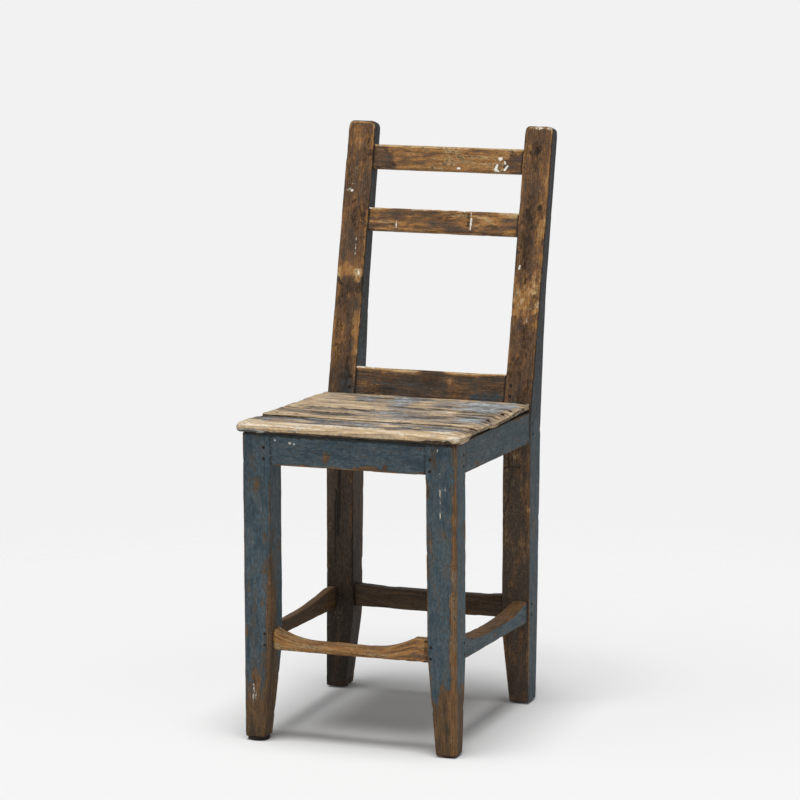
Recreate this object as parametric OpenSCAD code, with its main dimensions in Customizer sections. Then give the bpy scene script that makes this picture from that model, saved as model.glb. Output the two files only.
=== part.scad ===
// Rustic pine side chair: four legs, pegged mortise-and-tenon rails, a leaning
// two-slat back and a seat of three nailed boards. Millimetres, +Z up, the
// front faces -Y, and the origin is on the floor under the middle of the chair.
// Lengths along Y are first measured from the front faces of the front legs.

/* [Overall frame] */
// Distance over the outer faces of the front legs
front_width = 314; // [300:1:330]
// Distance over the outer faces of the back posts
rear_width = 316; // [302:1:332]
// Front faces of the front legs to front faces of the back posts
post_front = 330.5; // [320:0.5:345]
// Height of the front apron's top edge, which carries the seat
rail_top = 440; // [430:1:450]
// Angle at which the seat and side aprons fall towards the back
seat_tilt = 1.2; // [0:0.1:2]

/* [Legs] */
// Section of the front legs across the chair
leg_w = 41.5; // [40:0.5:46]
// Section of the front legs from front to back
leg_d = 43.5; // [42:0.5:46]
// Width of a foot across the chair, after the taper
foot_w = 29.5; // [28:0.5:36]
// Depth of a front foot, after the taper
foot_d = 30; // [28:0.5:36]
// Height at which the taper of the legs begins
taper_z = 132; // [120:1:140]
// Extra width that the front right leg keeps at its top
wide_top = 4; // [0:0.5:5]
// How far the front left leg leans in at its foot
left_lean = 3.2; // [0:0.1:4]
// How far the front right leg leans out at its foot
right_lean = 1.8; // [0:0.1:3]

/* [Back posts] */
// Width of a back post across the chair
post_w = 42.5; // [40:0.5:46]
// Angle at which the posts lean back above the seat
back_lean = 13.2; // [10:0.1:15]
// Height at which the posts' front faces start to lean
bend_z = 425; // [420:1:430]
// Length of a post's front face above the bend
post_rise = 425; // [400:1:450]
// Depth of a post where it leaves the seat
post_d_seat = 51; // [48:0.5:54]
// Depth of a post's upper part, measured square to its face
post_d_top = 24.5; // [22:0.5:28]
// Depth of a rear foot
rear_foot_d = 37.5; // [34:0.5:42]
// Bevel worn on the posts' top corners
post_bevel = 5; // [2:0.5:8]

/* [Back rails] */
// Height of the crest rail along the lean
crest_h = 36.3; // [30:0.5:40]
// Bend to the lower edge of the crest rail, along the lean
crest_at = 354.3; // [340:0.5:360]
// Height of the middle rail along the lean
mid_h = 34.2; // [30:0.5:40]
// Bend to the lower edge of the middle rail, along the lean
mid_at = 262.6; // [250:0.5:270]
// Height of the lower back rail along the lean
low_h = 46; // [40:0.5:48]
// Bend to the lower edge of the lower back rail, along the lean
low_at = 16; // [14:0.5:20]
// Thickness of the back rails
back_rail_t = 18; // [16:0.5:20]
// Setback of the back rails behind the posts' front faces
back_rail_in = 1.5; // [0.5:0.5:3]

/* [Aprons and stretchers] */
// Height of the four aprons
apron_h = 45; // [40:1:50]
// Thickness of the four aprons
apron_t = 20; // [18:0.5:22]
// Setback of the aprons behind the legs' faces
apron_in = 0.5; // [0:0.5:2]
// Setback of the rear apron behind the posts' front faces
rear_apron_in = 3; // [2.5:0.5:5]
// Lower edge of the front stretcher above the floor
front_str_z = 131; // [125:1:140]
// Full height of the front stretcher at its ends
front_str_h = 32; // [28:0.5:36]
// Depth worn out of the front stretcher by feet
front_str_scoop = 18; // [10:0.5:20]
// Thickness of the front stretcher
front_str_t = 25; // [22:0.5:27]
// Setback of the front stretcher behind the legs' faces
front_str_in = 6; // [4:0.5:8]
// Fall of the side stretchers' lower edges for each millimetre of length
side_str_fall = 0.03; // [0:0.005:0.04]
// Full height of the side stretchers at their ends
side_str_h = 33; // [30:0.5:36]
// Depth worn out of the right stretcher
right_str_scoop = 10; // [6:0.5:14]
// Depth worn out of the left stretcher
left_str_scoop = 13.5; // [6:0.5:16]
// Thickness of the right stretcher
right_str_t = 21; // [18:0.5:23]
// Thickness of the left stretcher
left_str_t = 12.5; // [12:0.5:18]
// Setback of the side stretchers from the legs' outer faces
side_str_in = 2.5; // [1:0.5:4]
// Lower edge of the rear stretcher above the floor
rear_str_z = 125; // [120:1:130]
// Full height of the rear stretcher at its ends
rear_str_h = 34; // [30:0.5:38]
// Depth worn out of the rear stretcher
rear_str_scoop = 3; // [1:0.5:6]
// Thickness of the rear stretcher
rear_str_t = 20; // [18:0.5:24]
// Setback of the rear stretcher behind the posts' front faces
rear_str_in = 7; // [5:0.5:9]

/* [Joints] */
// Length of a tenon
tenon_l = 20; // [16:0.5:20]
// Thickness of a tenon
tenon_t = 10; // [8:0.5:10]
// Height that a tenon loses at each edge of its rail
tenon_step = 4; // [3:0.5:6]
// Thickness of the back rails' tenons
slat_tenon_t = 9; // [8:0.5:10]
// Diameter of a wooden peg
peg_d = 6; // [5:0.5:7]
// Length of a wooden peg
peg_l = 21.5; // [20:0.5:22]
// Length of the pegs that enter the back posts from behind
long_peg_l = 44; // [40:1:46]
// How far a peg stands proud of the leg
peg_proud = 0.6; // [0.2:0.1:1]

/* [Seat boards] */
// Thickness of the seat boards
seat_t = 13; // [11:0.5:15]
// Overhang of the front board in front of the legs
nose_out = 9; // [6:0.5:12]
// Radius of the worn nose
nose_r = 6; // [4:0.5:6]
// Distance from the front legs' faces to the first joint
joint_1 = 87; // [80:1:95]
// Distance from the front legs' faces to the second joint
joint_2 = 188; // [170:1:200]
// Width of the open joints between the boards
joint_gap = 1.2; // [0.5:0.1:2]
// Half the greatest width of the seat
seat_half = 166; // [164:1:170]
// Diameter of a seat nail's head
nail_head_d = 6; // [5:0.5:7]
// Diameter of a seat nail's shank
nail_d = 2.6; // [2:0.2:3]
// Length of a seat nail
nail_l = 34; // [30:1:40]

/* [Feet] */
// Thickness of the glide under the short front left leg
glide_h = 5; // [3:0.5:6]
// Diameter of that glide
glide_d = 31; // [28:1:33]
// Thickness of the pads under the other feet
pad_h = 2; // [1:0.5:3]
// Diameter of those pads
pad_d = 25; // [20:1:26]

/* [Hidden] */

$fn = 48;
blue = "#3d4f5e";
bare = "#6b4a2c";
dark = "#3a2c20";
blond = "#b8935f";
black = "#1c1b1a";

fw = front_width / 2;
rw = rear_width / 2;
out = 60;                                   // how far a cutting shape runs past
post_top_y = post_front + (post_rise - post_bevel) * sin(back_lean) + post_d_top * cos(back_lean);
seat_front_y = -nose_out * cos(seat_tilt) + seat_t / 2 * sin(seat_tilt);
mid_y = (post_top_y + seat_front_y) / 2;    // middle of the chair's depth
knee = [post_front + 73, bend_z + 185];     // where the posts' depth settles
tenon_y = 8;                                // front apron's tenon behind its face
side_tenon_in = 7.5;                        // side tenons inside the outer face
peg_gap = 16;                               // between the two pegs of a joint
peg_edge = 9.5;                             // apron's and stretcher's pegs inside the joint

function fall(y) = rail_top - y * tan(seat_tilt);
// Where the seat meets the leaning posts, at height t in the seat's own frame
function seat_end(t) =
    let (k = tan(back_lean))
    (post_front + (rail_top - bend_z) * k + t * (k * cos(seat_tilt) - sin(seat_tilt)))
    / (cos(seat_tilt) + k * sin(seat_tilt)) - 0.4;
function str_base(y) = front_str_z + 0.5 - side_str_fall * y;

// Shared frames

module placed() {
    translate([0, -mid_y, 0]) children();
}

// Upright outline across the chair, drawn in X and Z
module across(y, depth, points) {
    translate([0, y + depth, 0]) rotate([90, 0, 0]) linear_extrude(depth) polygon(points);
}

// Upright outline from front to back, drawn in Y and Z
module along(x, width, points) {
    translate([x, 0, 0]) rotate([90, 0, 90]) linear_extrude(width) polygon(points);
}

// Frame of the leaning back: Z runs up the posts from the bend
module leaning() {
    translate([0, post_front, bend_z]) rotate([-back_lean, 0, 0]) children();
}

// Frame of the falling seat: Z = 0 is the underside of its boards
module seated() {
    translate([0, 0, rail_top + 0.01]) rotate([-seat_tilt, 0, 0]) children();
}

module block(low, high) {
    translate(low) cube(high - low);
}

// Legs before their joints are cut

// over is the extra height of a blank that only serves to cut a rail's ends
module front_leg_blank(side, foot_z, top_w, lean, over) {
    foot_x = side * (fw + lean);
    intersection() {
        across(-1, leg_d + 2, [
            [side * fw, rail_top + over], [side * fw, rail_top], [foot_x, foot_z],
            [foot_x - side * foot_w, foot_z], [side * (fw + lean / 2 - leg_w), taper_z + 8],
            [side * (fw - top_w), rail_top], [side * (fw - top_w), rail_top + over]
        ]);
        along(-fw - out, 2 * (fw + out), [
            [0, foot_z], [foot_d, foot_z], [leg_d, taper_z],
            [leg_d, fall(leg_d) + over], [0, fall(0) + over]
        ]);
    }
}

module left_leg_blank(over = 0) front_leg_blank(-1, glide_h, leg_w, -left_lean, over);
module right_leg_blank(over = 0) front_leg_blank(1, pad_h, leg_w + wide_top, right_lean, over);

module post_blank(side) {
    top = bend_z + post_rise;
    ends = post_rise - post_bevel;
    top_outline = [[0, ends], [post_bevel, post_rise],
                   [post_d_top - post_bevel, post_rise], [post_d_top, ends]];
    difference() {
        intersection() {
            across(0, 2 * post_front, [
                [side * rw, pad_h], [side * rw, top],
                [side * (rw - post_w), top], [side * (rw - post_w), taper_z - 20],
                [side * (rw - foot_w), pad_h]
            ]);
            along(-rw - out, 2 * (rw + out), concat(
                [[post_front, pad_h], [post_front, bend_z]],
                [for (p = top_outline)
                    [post_front + p[1] * sin(back_lean) + p[0] * cos(back_lean),
                     bend_z + p[1] * cos(back_lean) - p[0] * sin(back_lean)]],
                [knee, [post_front + post_d_seat + 7.5, bend_z + 70],
                 [post_front + post_d_seat, bend_z - 15], [post_front + 48, bend_z - 110],
                 [post_front + 44, taper_z + 25], [post_front + rear_foot_d, pad_h]]
            ));
        }
        leaning() translate([side * (rw - post_w / 2), 0, 0]) for (edge = [-1, 1])
            rotate([90, 0, 0]) linear_extrude(2 * out, center = true) polygon([
                [edge * (post_w / 2 + 1), ends - 1], [edge * (post_w / 2 + 1), post_rise + 9],
                [edge * (post_w / 2 - post_bevel - 9), post_rise + 9]
            ]);
    }
}

module all_blanks() {
    left_leg_blank(5);
    right_leg_blank(5);
    post_blank(-1);
    post_blank(1);
}

// Tenons: each is cut from the leg and left on its rail

// A pair at the two ends of a rail that runs across the chair
module cross_tenons(end_x, y, thick, low, high) {
    for (side = [-1, 1])
        translate([side * (end_x + tenon_l / 2 - 8), y + thick / 2, (low + high) / 2])
            cube([tenon_l + 16, thick, high - low], center = true);
}

// A pair at the two ends of a rail that runs from front to back
module side_tenons(side, inset, thick, low, high) {
    x = side * (fw - inset - thick / 2);
    for (y = [leg_d - 28, post_front - 8])
        translate([x, y + 18, (low + high) / 2]) cube([thick, 36, high - low], center = true);
}

module front_apron_tenons() {
    cross_tenons(fw - leg_w, tenon_y, tenon_t,
                 rail_top - apron_h + tenon_step, rail_top - tenon_step - 3);
}

module rear_apron_tenons() {
    cross_tenons(rw - post_w, post_front + 8, tenon_t,
                 rear_apron_low() + tenon_step, rear_apron_high() - tenon_step);
}

module side_apron_tenons(side) {
    side_tenons(side, side_tenon_in, tenon_t,
                fall(post_front) - apron_h + tenon_step + 7, fall(post_front) - tenon_step - 3);
}

module front_stretcher_tenons() {
    cross_tenons(fw - leg_w, front_str_in + 5, tenon_t,
                 front_str_z + tenon_step, front_str_z + front_str_h - tenon_step);
}

module rear_stretcher_tenons() {
    cross_tenons(rw - post_w, post_front + rear_str_in + 5, tenon_t,
                 rear_str_z + tenon_step, rear_str_z + rear_str_h - tenon_step);
}

module side_stretcher_tenons(side) {
    inset = side < 0 ? side_str_in + 2.5 : side_tenon_in;
    thick = side < 0 ? left_str_t - 5 : tenon_t;
    side_tenons(side, inset, thick,
                str_base(0) + tenon_step, str_base(post_front) + side_str_h - tenon_step);
}

// Back rail tenons, in the leaning frame
module slat_tenons(low, high) {
    leaning() for (side = [-1, 1])
        translate([side * (rw - post_w + 6), back_rail_in + back_rail_t / 2, (low + high) / 2])
            cube([28, slat_tenon_t, high - low - 2 * tenon_step], center = true);
}

module all_tenons() {
    front_apron_tenons();
    rear_apron_tenons();
    front_stretcher_tenons();
    rear_stretcher_tenons();
    for (side = [-1, 1]) {
        side_apron_tenons(side);
        side_stretcher_tenons(side);
    }
    slat_tenons(low_at, low_at + low_h);
    slat_tenons(mid_at, mid_at + mid_h);
    slat_tenons(crest_at, crest_at + crest_h);
}

// Pegs: each is cut from the leg and from the tenon that it holds

// A peg that enters a front face and points back
module peg_in_y(x, y, z) {
    translate([x, y - peg_proud, z]) rotate([-90, 0, 0]) cylinder(d = peg_d, h = peg_l + peg_proud);
}

// A peg that enters a back face and points forward
module peg_from_back(x, y, z) {
    translate([x, y + peg_proud, z]) rotate([90, 0, 0]) cylinder(d = peg_d, h = long_peg_l + peg_proud);
}

// A peg that enters an outer side face and points in
module peg_in_x(side, x, y, z) {
    translate([side * (x + peg_proud), y, z]) rotate([0, -side * 90, 0])
        cylinder(d = peg_d, h = peg_l + peg_proud);
}

module front_apron_peg_set() {
    for (step = [0, peg_gap]) {
        peg_in_y(-fw + leg_w - peg_edge, 0, rail_top - apron_h + 8.5 + step);
        peg_in_y(fw - leg_w + 3.5, 0, rail_top - apron_h + 6 + step);
    }
}

module rear_apron_peg_set() {
    for (side = [-1, 1], step = [0, peg_gap])
        peg_from_back(side * (rw - post_w + peg_edge), rear_face(rear_apron_low() + 12 + step),
                      rear_apron_low() + 12 + step);
}

module side_apron_peg_set() {
    for (side = [-1, 1], step = [0, peg_gap]) {
        peg_in_x(side, fw, leg_d - 9.5, rail_top - 35 + step);
        peg_in_x(side, rw, post_front + 12, rail_top - 40 + step);
    }
}

module back_rail_peg_set() {
    leaning() for (side = [-1, 1], step = [0, peg_gap])
        peg_in_y(side * (rw - post_w + 8.5), 0, low_at + 14 + step);
}

module front_stretcher_peg_set() {
    for (step = [0, peg_gap]) {
        peg_in_y(-fw + leg_w - peg_edge + 1, 0, front_str_z + 8 + step);
        peg_in_y(fw - leg_w + 6, 0, front_str_z + 8 + step);
    }
}

module rear_stretcher_peg_set() {
    for (side = [-1, 1], step = [0, peg_gap])
        peg_from_back(side * (rw - post_w + peg_edge), rear_face(rear_str_z + 9 + step),
                      rear_str_z + 9 + step);
}

module side_stretcher_peg_set() {
    for (side = [-1, 1], step = [0, peg_gap]) {
        peg_in_x(side, side < 0 ? fw - left_lean * 0.65 : fw + right_lean * 0.6,
                 leg_d - 6, str_base(0) + 9 + step);
        peg_in_x(side, rw, post_front + 15, str_base(post_front) + 10 + step);
    }
}

module all_pegs() {
    front_apron_peg_set();
    rear_apron_peg_set();
    side_apron_peg_set();
    back_rail_peg_set();
    front_stretcher_peg_set();
    rear_stretcher_peg_set();
    side_stretcher_peg_set();
}

// Legs and posts

module jointed(tint) {
    color(tint) placed() difference() {
        children();
        all_tenons();
        all_pegs();
    }
}

module front_left_leg() jointed(blue) left_leg_blank();
module front_right_leg() jointed(blue) right_leg_blank();
module rear_left_post() jointed(bare) post_blank(-1);
module rear_right_post() jointed(bare) post_blank(1);

// Rails: child 0 is the bar, child 1 its tenons, child 2 what is bored through it

module rail(tint) {
    color(tint) placed() difference() {
        union() {
            difference() {
                children(0);
                all_blanks();
            }
            children(1);
        }
        children(2);
    }
}

function rear_apron_low() = fall(post_front) - apron_h;
function rear_apron_high() = fall(post_front) - 1;
function rear_face(z) = post_front + 44 + (z - taper_z - 25) * 4 / (bend_z - 110 - taper_z - 25);

module front_apron() rail(blue) {
    along(-fw + 20, 2 * fw - 40, [
        [apron_in, rail_top - apron_h], [apron_in + apron_t, rail_top - apron_h],
        [apron_in + apron_t, fall(apron_in + apron_t)], [apron_in, fall(apron_in)]
    ]);
    front_apron_tenons();
    front_apron_peg_set();
}

module rear_apron() rail(dark) {
    block([-rw + 20, post_front + rear_apron_in, rear_apron_low()],
          [rw - 20, post_front + rear_apron_in + apron_t, rear_apron_high()]);
    rear_apron_tenons();
    rear_apron_peg_set();
}

module side_apron(side) rail(blue) {
    along(side < 0 ? -fw + apron_in : fw - apron_in - apron_t, apron_t, [
        [20, fall(20) - apron_h], [post_front + 10, fall(post_front + 10) - apron_h],
        [post_front + 10, fall(post_front + 10)], [20, fall(20)]
    ]);
    side_apron_tenons(side);
    union() {
        side_apron_peg_set();
        seat_nail_set();
    }
}

module left_apron() side_apron(-1);
module right_apron() side_apron(1);

module slat(tint, low, high) {
    rail(tint) {
        leaning() block([-rw + 20, back_rail_in, low], [rw - 20, back_rail_in + back_rail_t, high]);
        slat_tenons(low, high);
        back_rail_peg_set();
    }
}

module lower_back_rail() slat(bare, low_at, low_at + low_h);
module middle_back_rail() slat(bare, mid_at, mid_at + mid_h);
module crest_rail() slat(bare, crest_at, crest_at + crest_h);

// Stretchers: the top of each is worn into a hollow with parabolic ends

// Share of the full height left at s, for a hollow from s0 to s1 whose ends rise over the given runs
function worn(s, s0, s1, run0, run1) =
    let (a = max(0, s0 + run0 - s) / run0, b = max(0, s - s1 + run1) / run1) min(1, a * a + b * b);

function worn_edge(from, to, s0, s1, run0, run1, base, full, scoop, slope) =
    [for (i = [0:32]) let (s = to + (from - to) * i / 32)
        [s, base - slope * s + full - scoop * (1 - worn(s, s0, s1, run0, run1))]];

module front_stretcher() rail(bare) {
    across(front_str_in, front_str_t, concat(
        [[-fw + 20, front_str_z], [fw - 20, front_str_z]],
        worn_edge(-fw + 20, fw - 20, -fw + leg_w, fw - leg_w - 22, 62, 62,
                  front_str_z, front_str_h, front_str_scoop, 0)
    ));
    front_stretcher_tenons();
    front_stretcher_peg_set();
}

module rear_stretcher() rail(dark) {
    across(post_front + rear_str_in, rear_str_t, concat(
        [[-rw + 20, rear_str_z], [rw - 20, rear_str_z]],
        worn_edge(-rw + 20, rw - 20, -rw + post_w, rw - post_w, 60, 60,
                  rear_str_z, rear_str_h, rear_str_scoop, 0)
    ));
    rear_stretcher_tenons();
    rear_stretcher_peg_set();
}

module side_stretcher(side, thick, scoop, front_run, back_run, back_end) rail(blue) {
    along(side < 0 ? -fw + side_str_in : fw - side_str_in - thick, thick, concat(
        [[leg_d - 15, str_base(leg_d - 15)], [post_front + 15, str_base(post_front + 15)]],
        worn_edge(leg_d - 15, post_front + 15, leg_d, back_end, front_run, back_run,
                  str_base(0), side_str_h, scoop, side_str_fall)
    ));
    side_stretcher_tenons(side);
    side_stretcher_peg_set();
}

module left_stretcher() side_stretcher(-1, left_str_t, left_str_scoop, 100, 165, post_front - 22);
module right_stretcher() side_stretcher(1, right_str_t, right_str_scoop, 130, 140, post_front);

// Seat: boards lie across the chair on the aprons, in the seat's own frame

nail_spots = [
    [-143, 52], [140, 50], [-149, 112], [149, 160],
    [-149, 284], [-142, 301], [149, 226], [150, 258]
];

module seat_nail_set() {
    seated() for (spot = nail_spots) {
        translate([spot[0], spot[1], seat_t - nail_l - 0.3]) cylinder(d = nail_d, h = nail_l);
        translate([spot[0], spot[1], seat_t - 2]) cylinder(d = nail_head_d, h = 1.7);
    }
}

module nail_clearance() {
    seat_nail_set();
    seated() for (spot = nail_spots)
        translate([spot[0], spot[1], seat_t - 2]) cylinder(d = nail_head_d, h = 4);
}

// plan is the board's outline seen from above, section its outline seen from the side
module seat_board(section, plan) {
    color(blond) placed() difference() {
        seated() intersection() {
            along(-seat_half - 1, 2 * seat_half + 2, section);
            translate([0, 0, -1]) linear_extrude(seat_t + 2) polygon(plan);
        }
        nail_clearance();
    }
}

module seat_front_board() seat_board(
    concat(
        [[joint_1, 0], [joint_1, seat_t]],
        [for (a = [90:15:270]) [nose_r - nose_out + nose_r * cos(a), seat_t / 2 + seat_t / 2 * sin(a)]]
    ),
    [[-seat_half, -nose_out - 1], [-seat_half, 40], [-seat_half + 7, 66], [-seat_half + 6, joint_1],
     [seat_half - 6, joint_1], [seat_half - 5, -nose_out - 1]]
);

module seat_middle_board() seat_board(
    [[joint_1 + joint_gap, 0], [joint_2, 0], [joint_2, seat_t], [joint_1 + joint_gap, seat_t]],
    [[-seat_half + 3, joint_1], [-seat_half + 0.5, joint_1 + 25], [-seat_half + 1.5, joint_2],
     [seat_half - 4, joint_2], [seat_half, joint_1 + 58], [seat_half - 6, joint_1 + 50],
     [seat_half - 6, joint_1]]
);

module seat_rear_board() {
    seat_board(
        [[joint_2 + joint_gap, 0], [seat_end(0), 0],
         [seat_end(seat_t), seat_t], [joint_2 + joint_gap, seat_t]],
        [[-seat_half + 1.5, joint_2], [-seat_half + 3.5, post_front + 10],
         [rw - 1, post_front + 10], [seat_half - 6, joint_2 + 40], [seat_half - 4, joint_2]]
    );
}

// Fasteners and feet

module front_apron_pegs() color(dark) placed() front_apron_peg_set();
module rear_apron_pegs() color(dark) placed() rear_apron_peg_set();
module side_apron_pegs() color(dark) placed() side_apron_peg_set();
module back_rail_pegs() color(dark) placed() back_rail_peg_set();
module front_stretcher_pegs() color(dark) placed() front_stretcher_peg_set();
module rear_stretcher_pegs() color(dark) placed() rear_stretcher_peg_set();
module side_stretcher_pegs() color(dark) placed() side_stretcher_peg_set();
module seat_nails() color(black) placed() seat_nail_set();

module front_left_glide() color(black) placed()
    translate([-fw + left_lean + foot_w / 2, foot_d / 2, 0]) cylinder(d = glide_d, h = glide_h);

module foot_pads() color(black) placed() {
    for (spot = [
        [fw + right_lean - foot_w / 2, foot_d / 2],
        [-rw + foot_w / 2, post_front + rear_foot_d / 2],
        [rw - foot_w / 2, post_front + rear_foot_d / 2]
    ])
        translate([spot[0], spot[1], 0]) cylinder(d = pad_d, h = pad_h);
}

front_left_leg();
front_right_leg();
rear_left_post();
rear_right_post();
front_apron();
rear_apron();
left_apron();
right_apron();
lower_back_rail();
middle_back_rail();
crest_rail();
front_stretcher();
rear_stretcher();
left_stretcher();
right_stretcher();
seat_front_board();
seat_middle_board();
seat_rear_board();
front_apron_pegs();
rear_apron_pegs();
side_apron_pegs();
back_rail_pegs();
front_stretcher_pegs();
rear_stretcher_pegs();
side_stretcher_pegs();
seat_nails();
front_left_glide();
foot_pads();
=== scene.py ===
"""An old pine side chair whose blue paint is rubbed and peeled down to the wood.

Every timber is made as a block of close rows, its edges are worn round, and its faces are
dented and cracked. The wear that the finishes follow is stored on the mesh itself.
"""

import itertools
import math

import bmesh
import bpy
import numpy as np
from bpy.props import FloatProperty, FloatVectorProperty, IntProperty, PointerProperty
from mathutils import Matrix, Vector


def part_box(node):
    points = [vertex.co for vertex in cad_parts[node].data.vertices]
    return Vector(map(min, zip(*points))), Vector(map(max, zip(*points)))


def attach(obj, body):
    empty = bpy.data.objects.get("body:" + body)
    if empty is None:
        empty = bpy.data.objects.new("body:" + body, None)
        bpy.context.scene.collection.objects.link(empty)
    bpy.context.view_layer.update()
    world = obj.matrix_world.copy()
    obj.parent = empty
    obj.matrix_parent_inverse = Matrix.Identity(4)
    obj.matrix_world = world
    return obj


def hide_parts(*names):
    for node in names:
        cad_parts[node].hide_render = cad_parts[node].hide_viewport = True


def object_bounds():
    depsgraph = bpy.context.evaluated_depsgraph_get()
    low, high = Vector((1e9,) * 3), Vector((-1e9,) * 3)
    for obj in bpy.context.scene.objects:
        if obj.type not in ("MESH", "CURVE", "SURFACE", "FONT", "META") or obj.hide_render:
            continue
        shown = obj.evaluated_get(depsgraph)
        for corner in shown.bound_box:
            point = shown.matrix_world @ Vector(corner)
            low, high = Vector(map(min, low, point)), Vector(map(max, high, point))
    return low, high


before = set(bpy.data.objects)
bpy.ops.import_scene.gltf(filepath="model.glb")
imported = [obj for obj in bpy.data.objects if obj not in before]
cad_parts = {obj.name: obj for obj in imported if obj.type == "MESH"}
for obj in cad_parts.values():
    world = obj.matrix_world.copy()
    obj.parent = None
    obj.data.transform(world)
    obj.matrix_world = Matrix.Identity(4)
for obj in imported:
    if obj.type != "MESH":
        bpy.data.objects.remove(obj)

bl_info = {
    "name": "Worn Pine Chair",
    "version": (1, 0, 0),
    "blender": (4, 5, 0),
    "location": "View3D > Sidebar > Chair",
    "description": "Timbers, fastenings and finishes of a rubbed blue pine chair",
    "category": "Add Mesh",
}

MM = 0.001
CAD_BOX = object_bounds()
FINISHES = {}       # each finish's material, by its name, which is also the slot's


# Measures

def node_box(name):
    """Lowest and highest corner of a frame node, in millimetres."""
    low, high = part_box(name)
    return np.array(low) / MM, np.array(high) / MM


# Lengths along Y are written from the front faces of the front legs
FRONT = node_box("front_left_leg")[0][1]
POST_FRONT = 330.5
RAIL_TOP = 440.0
BEND_Z = 425.0
LEAN = math.radians(13.2)
FALL = math.radians(1.2)
SEAT_Z = 440.01
SEAT_T = 13.0
LEG_DEPTH = 43.5
INNER = 115.5       # inner faces of the legs and posts, from the middle
WIDE_INNER = 111.5  # and of the front right leg, which is wider
CLEAR = 2 * INNER
PAD_WIDTH = 25 * MM
STUB = 5.0          # how far a rail runs on inside the leg that holds it


def fall(y):
    """Height of the falling apron line at a distance behind the front legs' faces."""
    return RAIL_TOP - y * math.tan(FALL)


def leant(x, depth, up):
    """Point in the leaning back: depth behind the posts' faces, up the lean from the bend."""
    y = POST_FRONT + up * math.sin(LEAN) + depth * math.cos(LEAN)
    z = BEND_Z + up * math.cos(LEAN) - depth * math.sin(LEAN)
    return np.stack(np.broadcast_arrays(x, y, z), axis=-1)


def back_spot(x, z):
    """Point on the posts' leaning faces at a height above the floor."""
    return leant(x, 0.0, (z - BEND_Z) / math.cos(LEAN))


def seated(x, s, t):
    """Point in the falling seat: s back from the legs' faces and t above its underside."""
    y = s * math.cos(FALL) + t * math.sin(FALL)
    z = SEAT_Z - s * math.sin(FALL) + t * math.cos(FALL)
    return np.stack(np.broadcast_arrays(x, y, z), axis=-1)


def ramp(value, start, end):
    """Smooth step from 0 at start to 1 at end."""
    t = np.clip((value - start) / (end - start), 0, 1)
    return t * t * (3 - 2 * t)


def eased(value, table, ease=7.0):
    """Value read from a table of (place, value) pairs, with its corners eased."""
    places, values = zip(*table)
    return sum(np.interp(value + d, places, values) for d in (-ease, 0, ease)) / 3


# Noise on points

def lattice(cell, seed):
    """A fixed value from 0 to 1 for each whole-numbered cell."""
    h = cell[:, 0] * 73856093 ^ cell[:, 1] * 19349663 ^ cell[:, 2] * 83492791 ^ seed * 40503
    h = (h & 0xFFFFFFFF) * 1597334677 & 0xFFFFFFFF
    h = ((h >> 15) ^ h) * 2246822519 & 0xFFFFFFFF
    return (((h >> 13) ^ h) & 0xFFFFFF) / 0xFFFFFF


def noise(points, size, seed):
    """Smooth noise from -1 to 1. size is the size of its patches along the three axes."""
    scaled = points / np.asarray(size, float)
    cell = np.floor(scaled).astype(np.int64)
    part = scaled - cell
    part = part * part * (3 - 2 * part)
    total = np.zeros(len(points))
    for corner in itertools.product((0, 1), repeat=3):
        weight = np.prod(np.where(corner, part, 1 - part), axis=1)
        total += weight * lattice(cell + np.array(corner), seed)
    return total * 2 - 1


def layered(points, size, seed):
    """Noise with finer layers on it, from about -1 to 1."""
    size = np.asarray(size, float)
    shares = [0.5 ** n for n in range(3)]
    made = sum(s * noise(points, size * s, seed + 17 * n) for n, s in enumerate(shares))
    return made / sum(shares) * 1.6


# Blocks of timber

def stations(length, step, fine):
    """Rows across a length, centred on it, and closer together near both ends."""
    edge, gap = [0.0], fine
    while gap < step and edge[-1] + gap < length / 2 - step:
        edge.append(edge[-1] + gap)
        gap *= 1.3
    inner = length - 2 * edge[-1]
    middle = edge[-1] + np.linspace(0, inner, max(2, round(inner / step) + 1))
    edge = np.array(edge[:-1])
    return np.concatenate([edge, middle, length - edge[::-1]]) - length / 2


def block_shell(rows):
    """Points and outward quads of a closed block, from its rows along the three axes."""
    shell = np.ones([len(r) for r in rows], bool)
    shell[1:-1, 1:-1, 1:-1] = False
    number = np.full(shell.shape, -1)
    number[shell] = np.arange(shell.sum())
    points = np.stack([rows[a][i] for a, i in enumerate(np.nonzero(shell))], axis=1)
    quads = []
    for axis, end in itertools.product(range(3), (0, -1)):
        face = np.take(number, end, axis=axis)
        corners = [face[:-1, :-1], face[1:, :-1], face[1:, 1:], face[:-1, 1:]]
        if (axis == 1) == (end == -1):
            corners.reverse()
        quads.append(np.stack(corners, axis=-1).reshape(-1, 4))
    return points, np.concatenate(quads)


def rounded(points, half, radius):
    """The block's points with its edges rounded to a radius given for each point."""
    radius = np.minimum(np.broadcast_to(radius, len(points)), min(half) * 0.98)[:, None]
    core = np.clip(points, radius - half, half - radius)
    out = points - core
    return core + out * radius / np.linalg.norm(out, axis=1, keepdims=True)


def facing(points, quads):
    """Unit normals at the points of a mesh of quads."""
    a, b, c, d = (points[quads[:, n]] for n in range(4))
    across = np.cross(c - a, d - b)
    total = np.zeros_like(points)
    for n, axis in itertools.product(range(4), range(3)):
        total[:, axis] += np.bincount(quads[:, n], across[:, axis], len(points))
    return total / np.maximum(np.linalg.norm(total, axis=1, keepdims=True), 1e-12)


CHANNELS = {"bare": 0.0, "grime": 0.0, "chalk": 0.0, "warm": 0.5}
LEG_NODES = ["front_left_leg", "front_right_leg", "rear_left_post", "rear_right_post"]


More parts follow.
